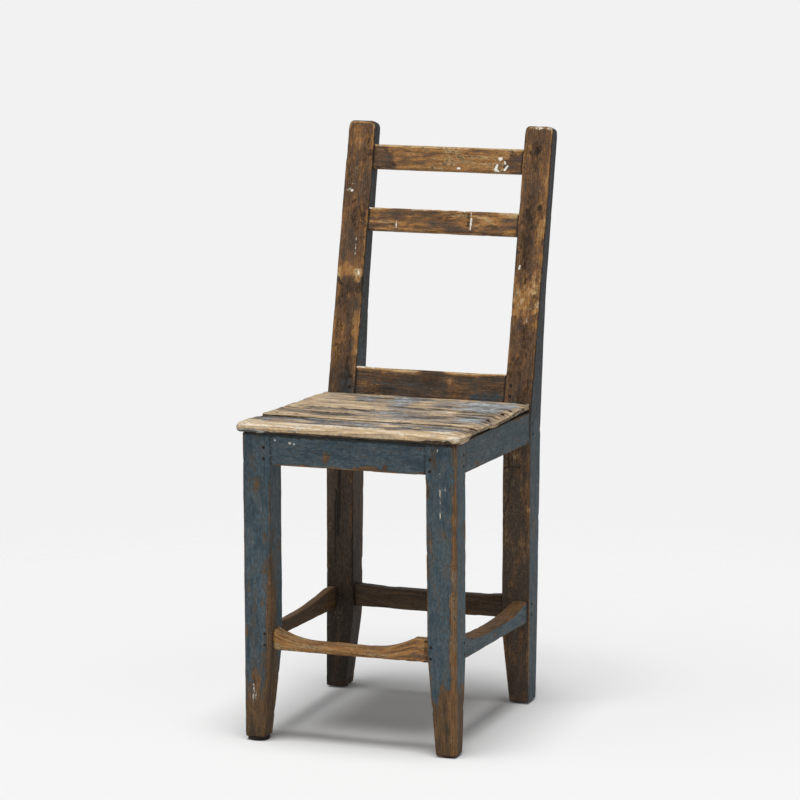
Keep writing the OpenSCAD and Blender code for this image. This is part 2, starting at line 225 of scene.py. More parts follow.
class Timber:
    """One timber: points in millimetres, quads, and the wear and painted light and shade that its finish
    follows.

    bare is where the paint is gone, grime is dark dirt and in some places painted shade, chalk is
    white or pale marks, and warm is rubbed orange wood where it is above a half and grey wood where
    it is below; above one it is pale wood, worn in some places and a painted highlight in others.
    """

    def __init__(self, block, quads, half, at, grain_axis, seed, mesh=None):
        self.block, self.quads, self.half, self.at = block, quads, half, at
        self.mesh = mesh
        self.grain_axis, self.seed = grain_axis, seed
        self.rim = np.sort(half - np.abs(block), axis=1)[:, 1]
        self.face = facing(at, quads)
        for channel, start in CHANNELS.items():
            setattr(self, channel, np.full(len(at), start))

    def patches(self, across, along, seed):
        """Noise whose patches are drawn out along the grain."""
        size = np.full(3, float(across))
        size[self.grain_axis] = along
        return layered(self.block, size, self.seed + seed)

    def sink(self, depth):
        self.at = self.at - self.face * np.asarray(depth)[:, None]

    def weather(self, depth=0.45, chips=1.4):
        """Uneven faces, shallow furrows along the grain, and small breaks along the edges."""
        uneven = 0.5 + 0.5 * self.patches(45, 160, 1)
        furrow = 0.5 + 0.5 * self.patches(4.5, 90, 2)
        chip = ramp(self.patches(9, 22, 3), 0.32, 0.75) * ramp(self.rim, 6, 0.5)
        self.sink(depth * uneven + 0.3 * depth * furrow + chips * chip)
        self.bare += 1.3 * chip

    def add(self, channel, amount):
        setattr(self, channel, getattr(self, channel) + amount)

    def spot(self, channel, centre, size, amount=1.0, ragged=0.35):
        """A ragged patch of wear round a point. size is its reach along X, Y and Z."""
        away = np.linalg.norm((self.at - centre) / np.asarray(size, float), axis=1)
        away = away + ragged * layered(self.at, np.full(3, 9.0), self.seed + 5)
        self.add(channel, amount * ramp(away, 1.15, 0.7))

    def stroke(self, channel, start, end, width, amount=1.0, wander=0.6):
        """A mark drawn from one point to another."""
        start, run = np.asarray(start, float), np.subtract(end, start)
        at = self.at + wander * width * noise(self.at, np.full(3, 14.0), self.seed + 6)[:, None]
        t = np.clip((at - start) @ run / (run @ run), 0, 1)
        away = np.linalg.norm(at - start - t[:, None] * run, axis=1)
        mark = ramp(away, width, width * 0.45)
        self.add(channel, amount * mark)
        return mark

    def crack(self, start, end, width, depth, amount=1.0):
        """A dark split along a line."""
        self.sink(depth * self.stroke("grime", start, end, width, amount))

    def soil_joints(self):
        """Painted shade, with some dirt, in the corners where this timber meets the legs and posts."""
        low, high = self.at.min(0) - 2, self.at.max(0) + 2
        for node in LEG_NODES:
            a, b = (corner - (0, FRONT, 0) for corner in node_box(node))
            if (a < high).all() and (b > low).all():
                away = np.maximum(0, np.maximum(a - self.at, self.at - b))
                self.grime += 0.75 * ramp(np.linalg.norm(away, axis=1), 3.5, 0.3)

    def build(self, name, node, slot):
        """Makes the mesh object, and hands it to the frame in place of its node."""
        if node not in LEG_NODES:
            self.soil_joints()
        mesh = self.mesh or self.new_mesh(FINISHES[slot])
        mesh.name = name
        points = np.clip((self.at + (0, FRONT, 0)) * MM, *(np.array(c) for c in CAD_BOX))
        mesh.vertices.foreach_set("co", points.ravel())
        order = [a for a in range(3) if a != self.grain_axis] + [self.grain_axis]
        pith = (60.0 + self.seed % 37, 35.0 - self.seed % 23, self.seed * 13.0)
        add_layer(mesh, "timber", "FLOAT_VECTOR", "vector", (self.block[:, order] + pith) * MM)
        for channel in CHANNELS:
            add_layer(mesh, channel, "FLOAT", "value", np.clip(getattr(self, channel), 0, 1.5))
        mesh.update()
        hand_over(name, mesh, slot, [node])

    def new_mesh(self, finish):
        """A mesh of this timber's quads, for the timbers that nodes have not made."""
        mesh = bpy.data.meshes.new("timber")
        mesh.vertices.add(len(self.at))
        mesh.loops.add(self.quads.size)
        mesh.loops.foreach_set("vertex_index", self.quads.ravel())
        mesh.polygons.add(len(self.quads))
        mesh.polygons.foreach_set("loop_start", np.arange(len(self.quads)) * 4)
        mesh.materials.append(finish)
        return mesh


def add_layer(mesh, name, kind, field, values):
    """Stores one value for each point of a mesh."""
    layer = mesh.attributes.new(name, kind, "POINT")
    layer.data.foreach_set(field, np.asarray(values, np.float32).ravel())


def build_all(timbers):
    """Makes the objects of a list of timbers, each with its name, node and slot."""
    for name, node, slot, timber in timbers:
        timber.build(name, node, slot)


def hand_over(name, mesh, slot, nodes):
    """Makes a finished piece, and gives it its body and the nodes it stands for; slot is not used."""
    mesh.shade_smooth()
    piece = bpy.data.objects.new(name, mesh)
    bpy.context.scene.collection.objects.link(piece)
    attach(piece, "root")
    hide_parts(*nodes)


# Nodes

class Wire:
    """A value in a node tree that Python arithmetic can be written on."""

    def __init__(self, tree, socket):
        self.tree, self.socket = tree, socket

    def maths(self, operation, *values):
        return self.tree.node("ShaderNodeMath", {"operation": operation}, dict(enumerate(values)))

    def __add__(self, other):
        return self.maths("ADD", self, other)

    def __sub__(self, other):
        return self.maths("SUBTRACT", self, other)

    def __rsub__(self, other):
        return self.maths("SUBTRACT", other, self)

    def __mul__(self, other):
        return self.maths("MULTIPLY", self, other)

    def __truediv__(self, other):
        return self.maths("DIVIDE", self, other)

    def __pow__(self, other):
        return self.maths("POWER", self, other)

    def __gt__(self, other):
        return self.maths("GREATER_THAN", self, other)

    __radd__, __rmul__ = __add__, __mul__

    def at_least(self, least):
        return self.maths("MAXIMUM", self, least)

    def at_most(self, most):
        return self.maths("MINIMUM", self, most)

    def part(self):
        """The value's part after the point."""
        return self.maths("FRACT", self)

    def step(self, start, end):
        """Smooth step from 0 at start to 1 at end."""
        settings = {"interpolation_type": "SMOOTHSTEP", "clamp": True}
        return self.tree.node("ShaderNodeMapRange", settings, {0: self, 1: start, 2: end})


class Tree:
    """A node tree that is written as expressions."""

    def __init__(self, tree):
        self.tree = tree
        self.tree.nodes.clear()

    def node(self, kind, settings=None, values=None, output=0):
        """Adds a node, gives it its settings and then its values or links."""
        made = self.tree.nodes.new(kind)
        for key, value in (settings or {}).items():
            setattr(made, key, value)
        for key, value in (values or {}).items():
            if isinstance(value, Wire):
                self.tree.links.new(value.socket, made.inputs[key])
            else:
                made.inputs[key].default_value = value
        return Wire(self, made.outputs[output]) if len(made.outputs) else None

    def vector(self, operation, a, b=(0, 0, 0), output=0):
        values = {0: a, 3: b} if operation == "SCALE" else {0: a, 1: b}
        return self.node("ShaderNodeVectorMath", {"operation": operation}, values, output)


# Finishes

class Finish(Tree):
    """A material that is written as expressions."""

    def __init__(self, name):
        self.material = bpy.data.materials.new(name)
        self.material.use_nodes = True
        super().__init__(self.material.node_tree)

    def read(self, name, output="Fac"):
        return self.node("ShaderNodeAttribute", {"attribute_name": name}, output=output)

    def noise(self, place, scale, detail=2.0, roughness=0.55, output="Fac"):
        values = {"Vector": place, "Scale": scale, "Detail": detail, "Roughness": roughness}
        return self.node("ShaderNodeTexNoise", {}, values, output)

    def mix(self, share, a, b):
        """Colour a turning into colour b as share goes from 0 to 1."""
        return self.node("ShaderNodeMix", {"data_type": "RGBA"}, {0: share, 6: a, 7: b}, output=2)

    def close(self, colour, roughness, height):
        """Ends the material in one surface shader, with its relief in millimetres."""
        bump = {"Strength": 1.0, "Distance": MM, "Height": height}
        return self.end(self.node("ShaderNodeBsdfPrincipled", {}, {
            "Base Color": colour, "Roughness": roughness, "Specular IOR Level": 0.15,
            "Normal": self.node("ShaderNodeBump", {}, bump)}))

    def end(self, shader):
        self.node("ShaderNodeOutputMaterial", {}, {"Surface": shader})
        return self.material


def tint(written):
    """Linear colour with alpha, from a written one."""
    parts = (int(written[n:n + 2], 16) / 255 for n in (1, 3, 5))
    return *(c / 12.92 if c <= 0.04045 else ((c + 0.055) / 1.055) ** 2.4 for c in parts), 1.0


def timber_finish(name, paint, scuff, wood, late, warm, cold, pale, grain=0.6,
                  chalk="#cfc9bb", soot="#1c1610", stain="#453f36"):
    """Layers of an old painted softwood: grain, rubbed tone, dirt with painted shade, pale wood with
    painted highlight, paint and white marks.
    """
    late, warm, cold, pale, chalk, soot, stain = map(tint, (late, warm, cold, pale, chalk, soot, stain))
    ring_gap = 3.2 * MM
    f = Finish(name)
    place = f.read("timber", "Vector")
    bare, grime, white, tone = (f.read(channel) for channel in CHANNELS)

    def swing(share, scale, detail=3.0, roughness=0.6):
        """Noise from about -1 to 1, drawn out along the grain."""
        drawn = f.vector("MULTIPLY", place, (1, 1, share))
        return (f.noise(drawn, scale, detail, roughness) - 0.5) * 6

    cloud = swing(0.35, 38)
    mottle = swing(0.45, 130, 5, 0.65)
    streak = swing(0.08, 240, 4)
    fibre = swing(0.035, 900)
    speck = swing(0.45, 360, 5, 0.7)
    grit = swing(0.3, 640)
    dust = swing(0.55, 1100, 2)
    sway = f.noise(f.vector("MULTIPLY", place, (1, 1, 0.3)), 13, output="Color")
    pulled = f.vector("MULTIPLY", f.vector("SUBTRACT", sway, (0.5, 0.5, 0)), (0.03, 0.03, 0))
    flat = f.vector("MULTIPLY", f.vector("ADD", place, pulled), (1, 1, 0))
    ring = (f.vector("LENGTH", flat, output="Value") / ring_gap + streak * 0.1).part()
    late_wood = ring.step(0.3, 0.85) * (1 - ring.step(0.9, 1.0))

    shade = tone + cloud * 0.24 + streak * 0.3 + mottle * 0.3
    fleck = (cloud * 0.5 + mottle * 0.4 - fibre * 0.5 - speck * 0.9 - grime).step(0.5, 1.7)
    unrest = 0.35 + tone.step(0, 1) * 0.9
    # The grime channel brings dirt and, in places, painted shade. Noise breaks it up, and it darkens the
    # wood towards the soot colour.
    dirt_and_shade = grime + (streak * 0.26 + mottle * 0.42 + speck * 0.52 + cloud * 0.2) * unrest
    ground = cold
    # Warm above one turns the wood pale: worn wood, and in some places a painted highlight.
    for share, layer in (
            (shade.step(0.0, 0.5), wood), (shade.step(0.5, 1.0), warm), (late_wood * grain, late),
            ((shade + speck * 0.2).step(1.0, 1.5) * 0.9, pale), (fleck * 0.5, pale),
            (fibre.step(0.1, 1.4) * 0.45, soot), (dirt_and_shade.step(0.2, 1.3) * 0.93, soot),
            ((grit + cloud * 0.5 + streak * 0.4).step(0.5, 1.3) * 0.7, soot),
            ((mottle * 0.4 - grit * 0.8 - cloud * 0.4).step(0.7, 1.7) * 0.35, pale),
            (dust.step(0.1, 1.6) * 0.5, soot),
            ((0 - dust - grime * 0.5).step(0.3, 1.8) * 0.42, pale)):
        ground = f.mix(share, ground, layer)

    gone = bare + streak * 0.18 + mottle * 0.16 + speck * 0.24 + cloud * 0.06
    coat = 1 - gone.step(0.34, 0.74)
    worn = 0.45 + cloud * 0.22 + mottle * 0.26 + streak * 0.24 - speck * 0.3
    skin = paint
    for share, layer in (
            (worn.step(0, 1), scuff), (gone.step(0.08, 0.45) * 0.65, stain),
            ((grime + speck * 0.3 + streak * 0.2).step(0.25, 1.2) * 0.8, soot),
            ((mottle * 0.4 - speck - grit * 0.4).step(0.8, 1.7) * 0.55, pale)):
        skin = f.mix(share, skin, layer)
    mark = (white + speck * 0.3 + mottle * 0.15).step(0.42, 0.66)
    body = f.mix(mark * 0.9, f.mix(coat, ground, skin), chalk)

    rough = 0.66 - coat * 0.1 + speck * 0.05
    height = (late_wood * 0.2 + fibre * 0.12) * (1 - coat * 0.7) \
        + coat * 0.3 + speck * 0.22 + streak * 0.2 + mottle * 0.16 + mark * 0.1
    return f.close(body, rough, height)


def small_finish(name, dark, light, roughness, scale):
    """A mottled finish for pegs, nails and pads."""
    f = Finish(name)
    place = f.node("ShaderNodeTexCoord", output="Object")
    blotch = f.noise(place, scale, 4, 0.65)
    fine = f.noise(place, scale * 4, 3, 0.6)
    shade = (blotch - 0.5) * 3 + (fine - 0.5) * 1.5 + 0.5
    colour = f.mix(shade.step(0, 1), tint(dark), tint(light))
    return f.close(colour, roughness + (fine - 0.5) * 0.3, blotch * 0.3 + fine * 0.1)


def make_finishes():
    """Makes every finish of the chair once."""
    chosen = bpy.context.scene.chair_colours
    blue, rubbed_blue, wood, seat = (
        (*getattr(chosen, name), 1.0) for name in ("paint", "rubbed_paint", "back_wood", "seat_wood"))
    for name, colours in {
        "blue_painted_pine": dict(
            paint=blue, scuff=rubbed_blue, wood=tint("#5f4a33"),
            late="#46301d", warm="#825d38", cold="#3b332a", pale="#8c7c66"),
        "rubbed_pine": dict(
            paint=tint("#2b363c"), scuff=tint("#48545a"), wood=wood, grain=0.3,
            late="#412b1a", warm="#a67642", cold="#473d34", pale="#c6aa80", chalk="#f0ece2"),
        "grimed_pine": dict(
            paint=tint("#33373a"), scuff=tint("#3f4244"), wood=tint("#4f3f2f"),
            late="#33251a", warm="#6d4f33", cold="#3c342c", pale="#5c4c3b"),
        "scrubbed_seat_pine": dict(
            paint=tint("#676361"), scuff=tint("#b0b8ba"), wood=seat, stain="#6d6259",
            late="#7d6046", warm="#d8ba90", cold="#7d7067", pale="#f4e8d2", soot="#261c16"),
    }.items():
        FINISHES[name] = timber_finish(name, **colours)
    for name, dark, light, roughness, scale in (
            ("peg_wood", "#120e0a", "#2c2118", 0.7, 500.0),
            ("rusted_iron", "#15100d", "#4a2c1a", 0.75, 500.0),
            ("black_pad", "#0d0c0b", "#221f1c", 0.6, 300.0)):
        FINISHES[name] = small_finish(name, dark, light, roughness, scale)


# Geometry nodes

class Shaper(Tree):
    """A geometry node group whose named inputs are its sizes."""

    def __init__(self, name, inputs):
        super().__init__(bpy.data.node_groups.new(name, "GeometryNodeTree"))
        for label, value in inputs.items():
            kind = value if isinstance(value, str) else {
                float: "Float", int: "Int", bool: "Bool", tuple: "Vector"}[type(value)]
            socket = self.tree.interface.new_socket(
                label, in_out="INPUT", socket_type="NodeSocket" + kind)
            if kind != value:
                socket.default_value = value
        self.tree.interface.new_socket("Result", in_out="OUTPUT", socket_type="NodeSocketGeometry")
        sockets = self.tree.nodes.new("NodeGroupInput").outputs
        self.given = {label: Wire(self, sockets[label]) for label in inputs}

    def parts(self, vector):
        """A vector's three numbers."""
        return [self.node("ShaderNodeSeparateXYZ", {}, {0: vector}, n) for n in range(3)]

    def joined(self, *numbers):
        """A vector of up to three numbers."""
        return self.node("ShaderNodeCombineXYZ", {}, dict(enumerate(numbers)))

    def stored(self, name):
        """A vector kept on the points under a name."""
        return self.node("GeometryNodeInputNamedAttribute", {"data_type": "FLOAT_VECTOR"},
                         {"Name": name})

    def finish(self, geometry):
        real = self.node("GeometryNodeRealizeInstances", {}, {0: geometry})
        done = self.node("GeometryNodeSetMaterial", {}, {
            "Geometry": real, "Material": self.given["Finish"]})
        self.node("NodeGroupOutput", {}, {0: done})
        return self.tree


def run_tree(name, tree, make, sizes, slot, start=None):
    """Runs a node group with those sizes, and gives back its result as a plain mesh."""
    group = bpy.data.node_groups.get(tree) or make()
    work = bpy.data.objects.new(name + "_work", start or bpy.data.meshes.new(name + "_work"))
    bpy.context.scene.collection.objects.link(work)
    modifier = work.modifiers.new(tree, "NODES")
    modifier.node_group = group
    for item in group.interface.items_tree:
        if item.in_out == "INPUT" and item.name in sizes:
            modifier[item.identifier] = sizes[item.name]
        elif item.name == "Finish":
            modifier[item.identifier] = FINISHES[slot]
    seen = work.evaluated_get(bpy.context.evaluated_depsgraph_get())
    plain = bpy.data.meshes.new_from_object(seen)
    bpy.data.objects.remove(work)
    plain.name = name
    return plain


def bar_tree():
    """Geometry nodes for a rounded bar whose top is worn down between two runs."""
    tree = Shaper("worn_bar", {
        "Size": (0.231, 0.02, 0.04), "Rows Along X": 100, "Rows Along Y": 12, "Rows Along Z": 20,
        "Crowding": 0.45, "Edge Radius": 2 * MM, "Edge Wear": 0.5, "Grain Along Y": False,
        "Hollow Depth": 0.0, "Hollow Start": -0.1, "Hollow End": 0.1, "Start Run": 0.06,
        "End Run": 0.06, "Seed": 1, "Finish": "Material"})
    given, node, vector = tree.given, tree.node, tree.vector
    cube = node("GeometryNodeMeshCube", {}, {
        "Size": (2, 2, 2), "Vertices X": given["Rows Along X"],
        "Vertices Y": given["Rows Along Y"], "Vertices Z": given["Rows Along Z"]})
    even = node("GeometryNodeInputPosition")
    # rows crowd towards the edges: even * (1 + crowding - crowding * even squared)
    pull = vector("SCALE", vector("SUBTRACT", (1, 1, 1), vector("MULTIPLY", even, even)),
                  given["Crowding"])
    half = vector("SCALE", given["Size"], 0.5)
    block = vector("MULTIPLY", vector("MULTIPLY", even, vector("ADD", pull, (1, 1, 1))), half)
    kept = node("GeometryNodeStoreNamedAttribute", {"data_type": "FLOAT_VECTOR"}, {
        "Geometry": cube, "Name": "block", "Value": block})
    place = tree.stored("block")
    rough = node("ShaderNodeTexNoise", {"noise_dimensions": "4D"}, {
        "Vector": place, "W": given["Seed"], "Scale": 34.0, "Detail": 2.0})
    radius = given["Edge Radius"] * ((rough - 0.5) * (given["Edge Wear"] * 4.0) + 1.0)
    limit = vector("SUBTRACT", half, tree.joined(radius, radius, radius))
    core = vector("MAXIMUM", vector("MINIMUM", place, limit), vector("SCALE", limit, -1.0))
    out = vector("NORMALIZE", vector("SUBTRACT", place, core))
    shaped = vector("ADD", core, vector("SCALE", out, radius))
    x, y, z = tree.parts(shaped)
    along = node("GeometryNodeSwitch", {"input_type": "FLOAT"}, {0: given["Grain Along Y"], 1: x, 2: y})
    before = ((given["Hollow Start"] - along) / given["Start Run"] + 1.0).at_least(0.0)
    after = ((along - given["Hollow End"]) / given["End Run"] + 1.0).at_least(0.0)
    sunk = 1.0 - (before * before + after * after).at_most(1.0)
    share = (z / tree.parts(half)[2] + 1.0) * -0.5
    drop = tree.joined(0.0, 0.0, sunk * share * given["Hollow Depth"])
    return tree.finish(node("GeometryNodeSetPosition", {}, {
        "Geometry": kept, "Position": vector("ADD", shaped, drop)}))


def head_tree():
    """Geometry nodes that put a turned, domed head on each point of a mesh."""
    tree = Shaper("driven_heads", {
        "Points": "Geometry", "Width": 6 * MM, "Depth": 4 * MM, "Dome": 0.4 * MM,
        "Worn": 0.15 * MM, "Sides": 20, "Rings": 5, "Seed": 1, "Finish": "Material"})
    given, node = tree.given, tree.node
    radius = given["Width"] * 0.5
    drum = node("GeometryNodeMeshCylinder", {"fill_type": "TRIANGLE_FAN"}, {
        "Vertices": given["Sides"], "Side Segments": 4, "Fill Segments": given["Rings"],
        "Radius": radius, "Depth": given["Depth"]})
    x, y, z = tree.parts(node("GeometryNodeInputPosition"))
    out = tree.vector("LENGTH", tree.joined(x, y), output=1) / radius
    share = out ** 3.0 * (z > 0.0)
    domed = node("GeometryNodeSetPosition", {}, {
        "Geometry": drum, "Offset": tree.joined(0.0, 0.0, share * (given["Dome"] * -1.0))})
    lowered = node("GeometryNodeTransform", {}, {
        "Geometry": domed, "Translation": tree.joined(0.0, 0.0, given["Depth"] * -0.5)})
    turn = node("FunctionNodeAlignRotationToVector", {"axis": "Z"}, {"Vector": tree.stored("aim")})
    size = node("FunctionNodeRandomValue", {"data_type": "FLOAT"},
                {2: 0.9, 3: 1.0, "Seed": given["Seed"]}, 1)
    each = node("GeometryNodeInstanceOnPoints", {}, {
        "Points": given["Points"], "Instance": lowered, "Rotation": turn, "Scale": size})
    real = node("GeometryNodeRealizeInstances", {}, {0: each})
    rough = node("ShaderNodeTexNoise", {}, {"Scale": 420.0, "Detail": 2.0})
    push = (rough - 0.9) * given["Worn"]
    return tree.finish(node("GeometryNodeSetPosition", {}, {
        "Geometry": real, "Offset": tree.vector("SCALE", node("GeometryNodeInputNormal"), push)}))


# Shapes

def leg_block(size, steps, radius, place, seed):
    """A timber from a block of that size, rounded and then placed by a function."""
    fine = bpy.context.scene.chair_wear.edge_rows / MM
    block, quads = block_shell([stations(*row, fine) for row in zip(size, steps)])
    half = np.array(size) / 2
    shaped = rounded(block, half, radius(block, half))
    return Timber(block, quads, half, place(shaped, half), 2, seed)


def front_leg(side, seed):
    """A tapered front leg that leans a little at its foot."""
    foot = node_box("front_left_leg" if side < 0 else "front_right_leg")[0][2]
    outer = [(foot, -153.8), (RAIL_TOP, -157.0)] if side < 0 else [(foot, 158.8), (RAIL_TOP, 157.0)]
    inner = ([(foot, -124.3), (140.0, -113.9), (RAIL_TOP, -INNER)] if side < 0
             else [(foot, 129.3), (140.0, 116.4), (RAIL_TOP, WIDE_INNER)])
    left, right = (outer, inner) if side < 0 else (inner, outer)
    depth = [(foot, 30.0), (132.0, LEG_DEPTH), (RAIL_TOP, LEG_DEPTH)]
    tall = RAIL_TOP - foot

    def place(p, half):
        across, back, up = ((p[:, a] / half[a] + 1) / 2 for a in range(3))
        y = back * np.interp(foot + up * tall, *zip(*depth))
        z = foot + up * (fall(y) - foot)
        y = back * eased(z, depth)
        x = eased(z, left) * (1 - across) + eased(z, right) * across
        return np.stack([x, y, z], axis=1)

    def radius(p, half):
        z = p[:, 2] + half[2] + foot
        base = 2.3 + 1.0 * noise(p, (200, 200, 45), seed) + 0.5 * noise(p, (200, 200, 14), seed + 1)
        outer_front = (p[:, 0] * side > 0) & (p[:, 1] < 0)
        base = base + (1.3 if side > 0 else 0.3) * outer_front
        held = ramp(z, 384, 394) * (p[:, 0] * side < 8)
        base = base * (1 - 0.72 * held)
        return base + 1.2 * ramp(z, foot + 12, foot)

    return leg_block((42.0, LEG_DEPTH, tall), (1.7, 1.9, 1.9), radius, place, seed)


POST_BACK = [   # along the front face, back edge's Y, back edge's Z
    (0, 368.0, 2.0), (155, 374.5, 157.0), (313, 378.5, 313.5), (395, 381.3, 394.5),
    (423, 382.3, 419.6), (475, 386.4, 465.3), (540, 393.5, 530.4), (620, 403.5, 610.2),
    (848, 451.4, 833.2),
]


def back_post(side, seed):
    """A rear leg that bends at the seat and runs up as the back's post."""
    foot = node_box("rear_left_post" if side < 0 else "rear_right_post")[0][2]
    length = POST_BACK[-1][0]
    outer = [(0, side * 158.0), (length, side * 158.0)]
    inner = [(0, side * 128.5), (110, side * INNER), (length, side * INNER)]
    left, right = (outer, inner) if side < 0 else (inner, outer)
    straight = BEND_Z - foot
    front_y = [(0, POST_FRONT), (straight, POST_FRONT),
               (length, POST_FRONT + (length - straight) * math.sin(LEAN))]
    front_z = [(0, foot), (straight, BEND_Z),
               (length, BEND_Z + (length - straight) * math.cos(LEAN))]
    back_y = [(s, y) for s, y, z in POST_BACK]
    back_z = [(s, z) for s, y, z in POST_BACK]

    def place(p, half):
        across, back = ((p[:, a] / half[a] + 1) / 2 for a in range(2))
        s = p[:, 2] + half[2]
        x = eased(s, left) * (1 - across) + eased(s, right) * across
        ends = np.clip(s, 0, length)
        y = np.interp(ends, *zip(*front_y)) * (1 - back) + np.interp(ends, *zip(*back_y)) * back
        z = np.interp(ends, *zip(*front_z)) * (1 - back) + np.interp(ends, *zip(*back_z)) * back
        return np.stack([x, y, z], axis=1)

    def radius(p, half):
        s = p[:, 2] + half[2]
        base = 2.6 + 1.1 * noise(p, (200, 200, 50), seed) + 0.5 * noise(p, (200, 200, 13), seed + 1)
        held = ramp(s, 432, 440) * ramp(s, 492, 486) + ramp(s, 680, 688) * ramp(s, 724, 716) \
            + ramp(s, 772, 780) * ramp(s, 817, 809)
        base = base * (1 - 0.6 * held * (p[:, 0] * side < 0) * (p[:, 1] < 0))
        return base + 4.4 * ramp(s, length - 14, length - 5) + 1.0 * ramp(s, 12, 0)

    return leg_block((42.5, 44.0, length), (1.9, 2.2, 2.3), radius, place, seed)


def bar(size, steps, hollow, radius, place, grain_axis, seed, slot):
    """A rail, an apron or a stretcher, made by the bar nodes and then placed by a function."""
    rows = [round(1.15 * length / step) + 1 for length, step in zip(size, steps)]
    sizes = {name: value * MM for name, value in hollow.items()}
    sizes.update({"Size": [length * MM for length in size], "Edge Radius": radius * MM,
                  "Grain Along Y": grain_axis == 1, "Seed": seed})
    sizes.update(zip(("Rows Along X", "Rows Along Y", "Rows Along Z"), rows))
    mesh = run_tree("bar_%d" % seed, "worn_bar", bar_tree, sizes, slot)
    count = len(mesh.vertices)
    shaped, block = np.empty(count * 3, np.float32), np.empty(count * 3, np.float32)
    mesh.vertices.foreach_get("co", shaped)
    mesh.attributes["block"].data.foreach_get("vector", block)
    mesh.attributes.remove(mesh.attributes["block"])
    quads = np.empty(len(mesh.loops), np.int32)
    mesh.loops.foreach_get("vertex_index", quads)
    shaped, block = (values.reshape(-1, 3).astype(float) / MM for values in (shaped, block))
    half = np.array(size, float) / 2
    return Timber(block, quads.reshape(-1, 4), half, place(shaped), grain_axis, seed, mesh)


LEVEL = {"Hollow Depth": 0.0}


def worn_hollow(start, end, start_run, end_run, depth):
    """Where a bar's top has been worn down, how deep, and how far each end takes to sink."""
    return {"Hollow Start": start, "Hollow End": end, "Start Run": start_run,
            "End Run": end_run, "Hollow Depth": depth}


# Wear that every timber shares

def rub_paint(timber, edge, patches, base):
    """Paint worn off along the edges and in ragged patches drawn out along the grain."""
    reach = edge * (1.1 + 1.0 * timber.patches(22, 55, 11))
    held = 0.3 + 0.7 * ramp(timber.patches(12, 40, 14), -0.5, 0.35)
    timber.bare += base + 1.05 * held * ramp(timber.rim, np.maximum(reach, 0.3) + 1.6, 0.2)
    timber.grime += 0.35 * ramp(timber.rim, 1.4, 0.3) * ramp(timber.patches(8, 30, 15), -0.3, 0.4)
    timber.bare += patches * ramp(timber.patches(15, 48, 12), 0.3, 1.0)
    timber.grime += 0.25 * ramp(timber.patches(28, 80, 13), 0.1, 0.9)


def facing_share(timber, direction, start=0.45, end=0.8):
    """1 where a face looks along a direction, and 0 where it looks elsewhere."""
    return ramp(timber.face @ np.asarray(direction, float), start, end)


def blue_leg(side):
    """A front leg with the wear of its paint."""
    seed = 100 if side < 0 else 200
    leg = front_leg(side, seed)
    rub_paint(leg, edge=1.5 if side < 0 else 1.8, patches=0.55, base=0.1 if side < 0 else 0.14)
    z = leg.at[:, 2]
    joint = ramp(z, 386, 394) * ramp(leg.at[:, 0] * side, 122, 114) * ramp(leg.at[:, 1], 8, 2)
    if side < 0:
        foot = z + 26 * leg.patches(14, 50, 31) + 26 * ramp(leg.at[:, 0], -138, -150)
        leg.bare += 0.55 * ramp(foot, 150, 70) + 0.5 * ramp(z, 66, 36)
        inner = ramp(leg.at[:, 0], -127 + 0.01 * z, -119 + 0.01 * z) * ramp(leg.at[:, 1], 30, 8)
        leg.bare += 0.75 * inner * ramp(z, 330, 180) + 0.35 * inner * ramp(z, 240, 70)
        leg.spot("bare", (-146, 0, 390), (6, 8, 26), 0.2, 0.9)
        leg.spot("chalk", (-140, 0, 66), (4, 5, 15), 0.35, 0.8)
        leg.stroke("chalk", (-142, 0, 84), (-141, 0, 58), 1.6, 0.35)
        leg.stroke("grime", (-115.5, 0, 396), (-115.5, 0, 440), 1.2, 0.6, 0.1)
    else:
        tongue = 24 * ramp(leg.at[:, 0], 137, 131) - 60 * ramp(leg.at[:, 0], 126, 116)
        leg.bare += 0.95 * ramp(z + tongue + 12 * leg.patches(8, 26, 33), 108, 76)
        reach = 150.5 - 3.0 * leg.patches(10, 26, 31)
        strip = ramp(leg.at[:, 0], reach - 2, reach + 2) * ramp(leg.at[:, 1], 12, 3)
        leg.bare += strip * (0.6 - 0.5 * leg.patches(9, 22, 32))
        leg.warm += 0.5 * strip
        leg.spot("bare", (113, 0, 370), (6, 10, 16), 0.8)
        leg.spot("chalk", (130, 0, 431), (1.6, 4, 2), 0.7)
        leg.spot("chalk", (133, 0, 399), (1.4, 4, 2.4), 0.6)
        leg.stroke("chalk", (134, 0, 335), (134, 0, 377), 1.5, 0.5, 0.15)
        leg.stroke("chalk", (141, 0, 372), (141, 0, 396), 1.4, 0.45, 0.15)
        leg.stroke("grime", (111.7, 0, 394), (111.5, 0, 440), 1.6, 1.0, 0.1)
    leg.grime += 0.35 * ramp(z, 40, 0)
    leg.weather(0.35, 1.2)
    leg.bare -= 1.6 * joint
    # Painted shadow: the top of the leg's front, under the seat's overhanging nose, is darkened.
    leg.grime += 1.1 * ramp(z, 433, 437.5) * ramp(leg.at[:, 1], 6, 1)
    return leg


POST_TONES = {      # broad marks on the posts' fronts: kind, middle, reach, amount
    -1: [("grime", -128, 790, 10, 15, 0.35), ("warm", -141, 815, 12, 14, 0.3),
         ("grime", -133, 700, 11, 24, 0.35), ("warm", -145, 620, 16, 12, 0.35),
         ("grime", -145, 580, 12, 26, 0.35), ("warm", -120, 540, 6, 70, 0.4),
         ("grime", -120, 540, 6, 70, -0.35), ("grime", -135, 500, 12, 30, 0.3)],
    1: [("grime", 137, 800, 10, 24, 0.45), ("grime", 131, 685, 12, 44, 0.3),
        ("warm", 133, 592, 20, 32, 0.35), ("grime", 133, 592, 20, 32, -0.35),
        ("grime", 140, 545, 9, 26, 0.35), ("warm", 151, 650, 8, 190, 0.45),
        ("grime", 152, 650, 6, 190, -0.4), ("grime", 124, 480, 12, 30, 0.3)],
}


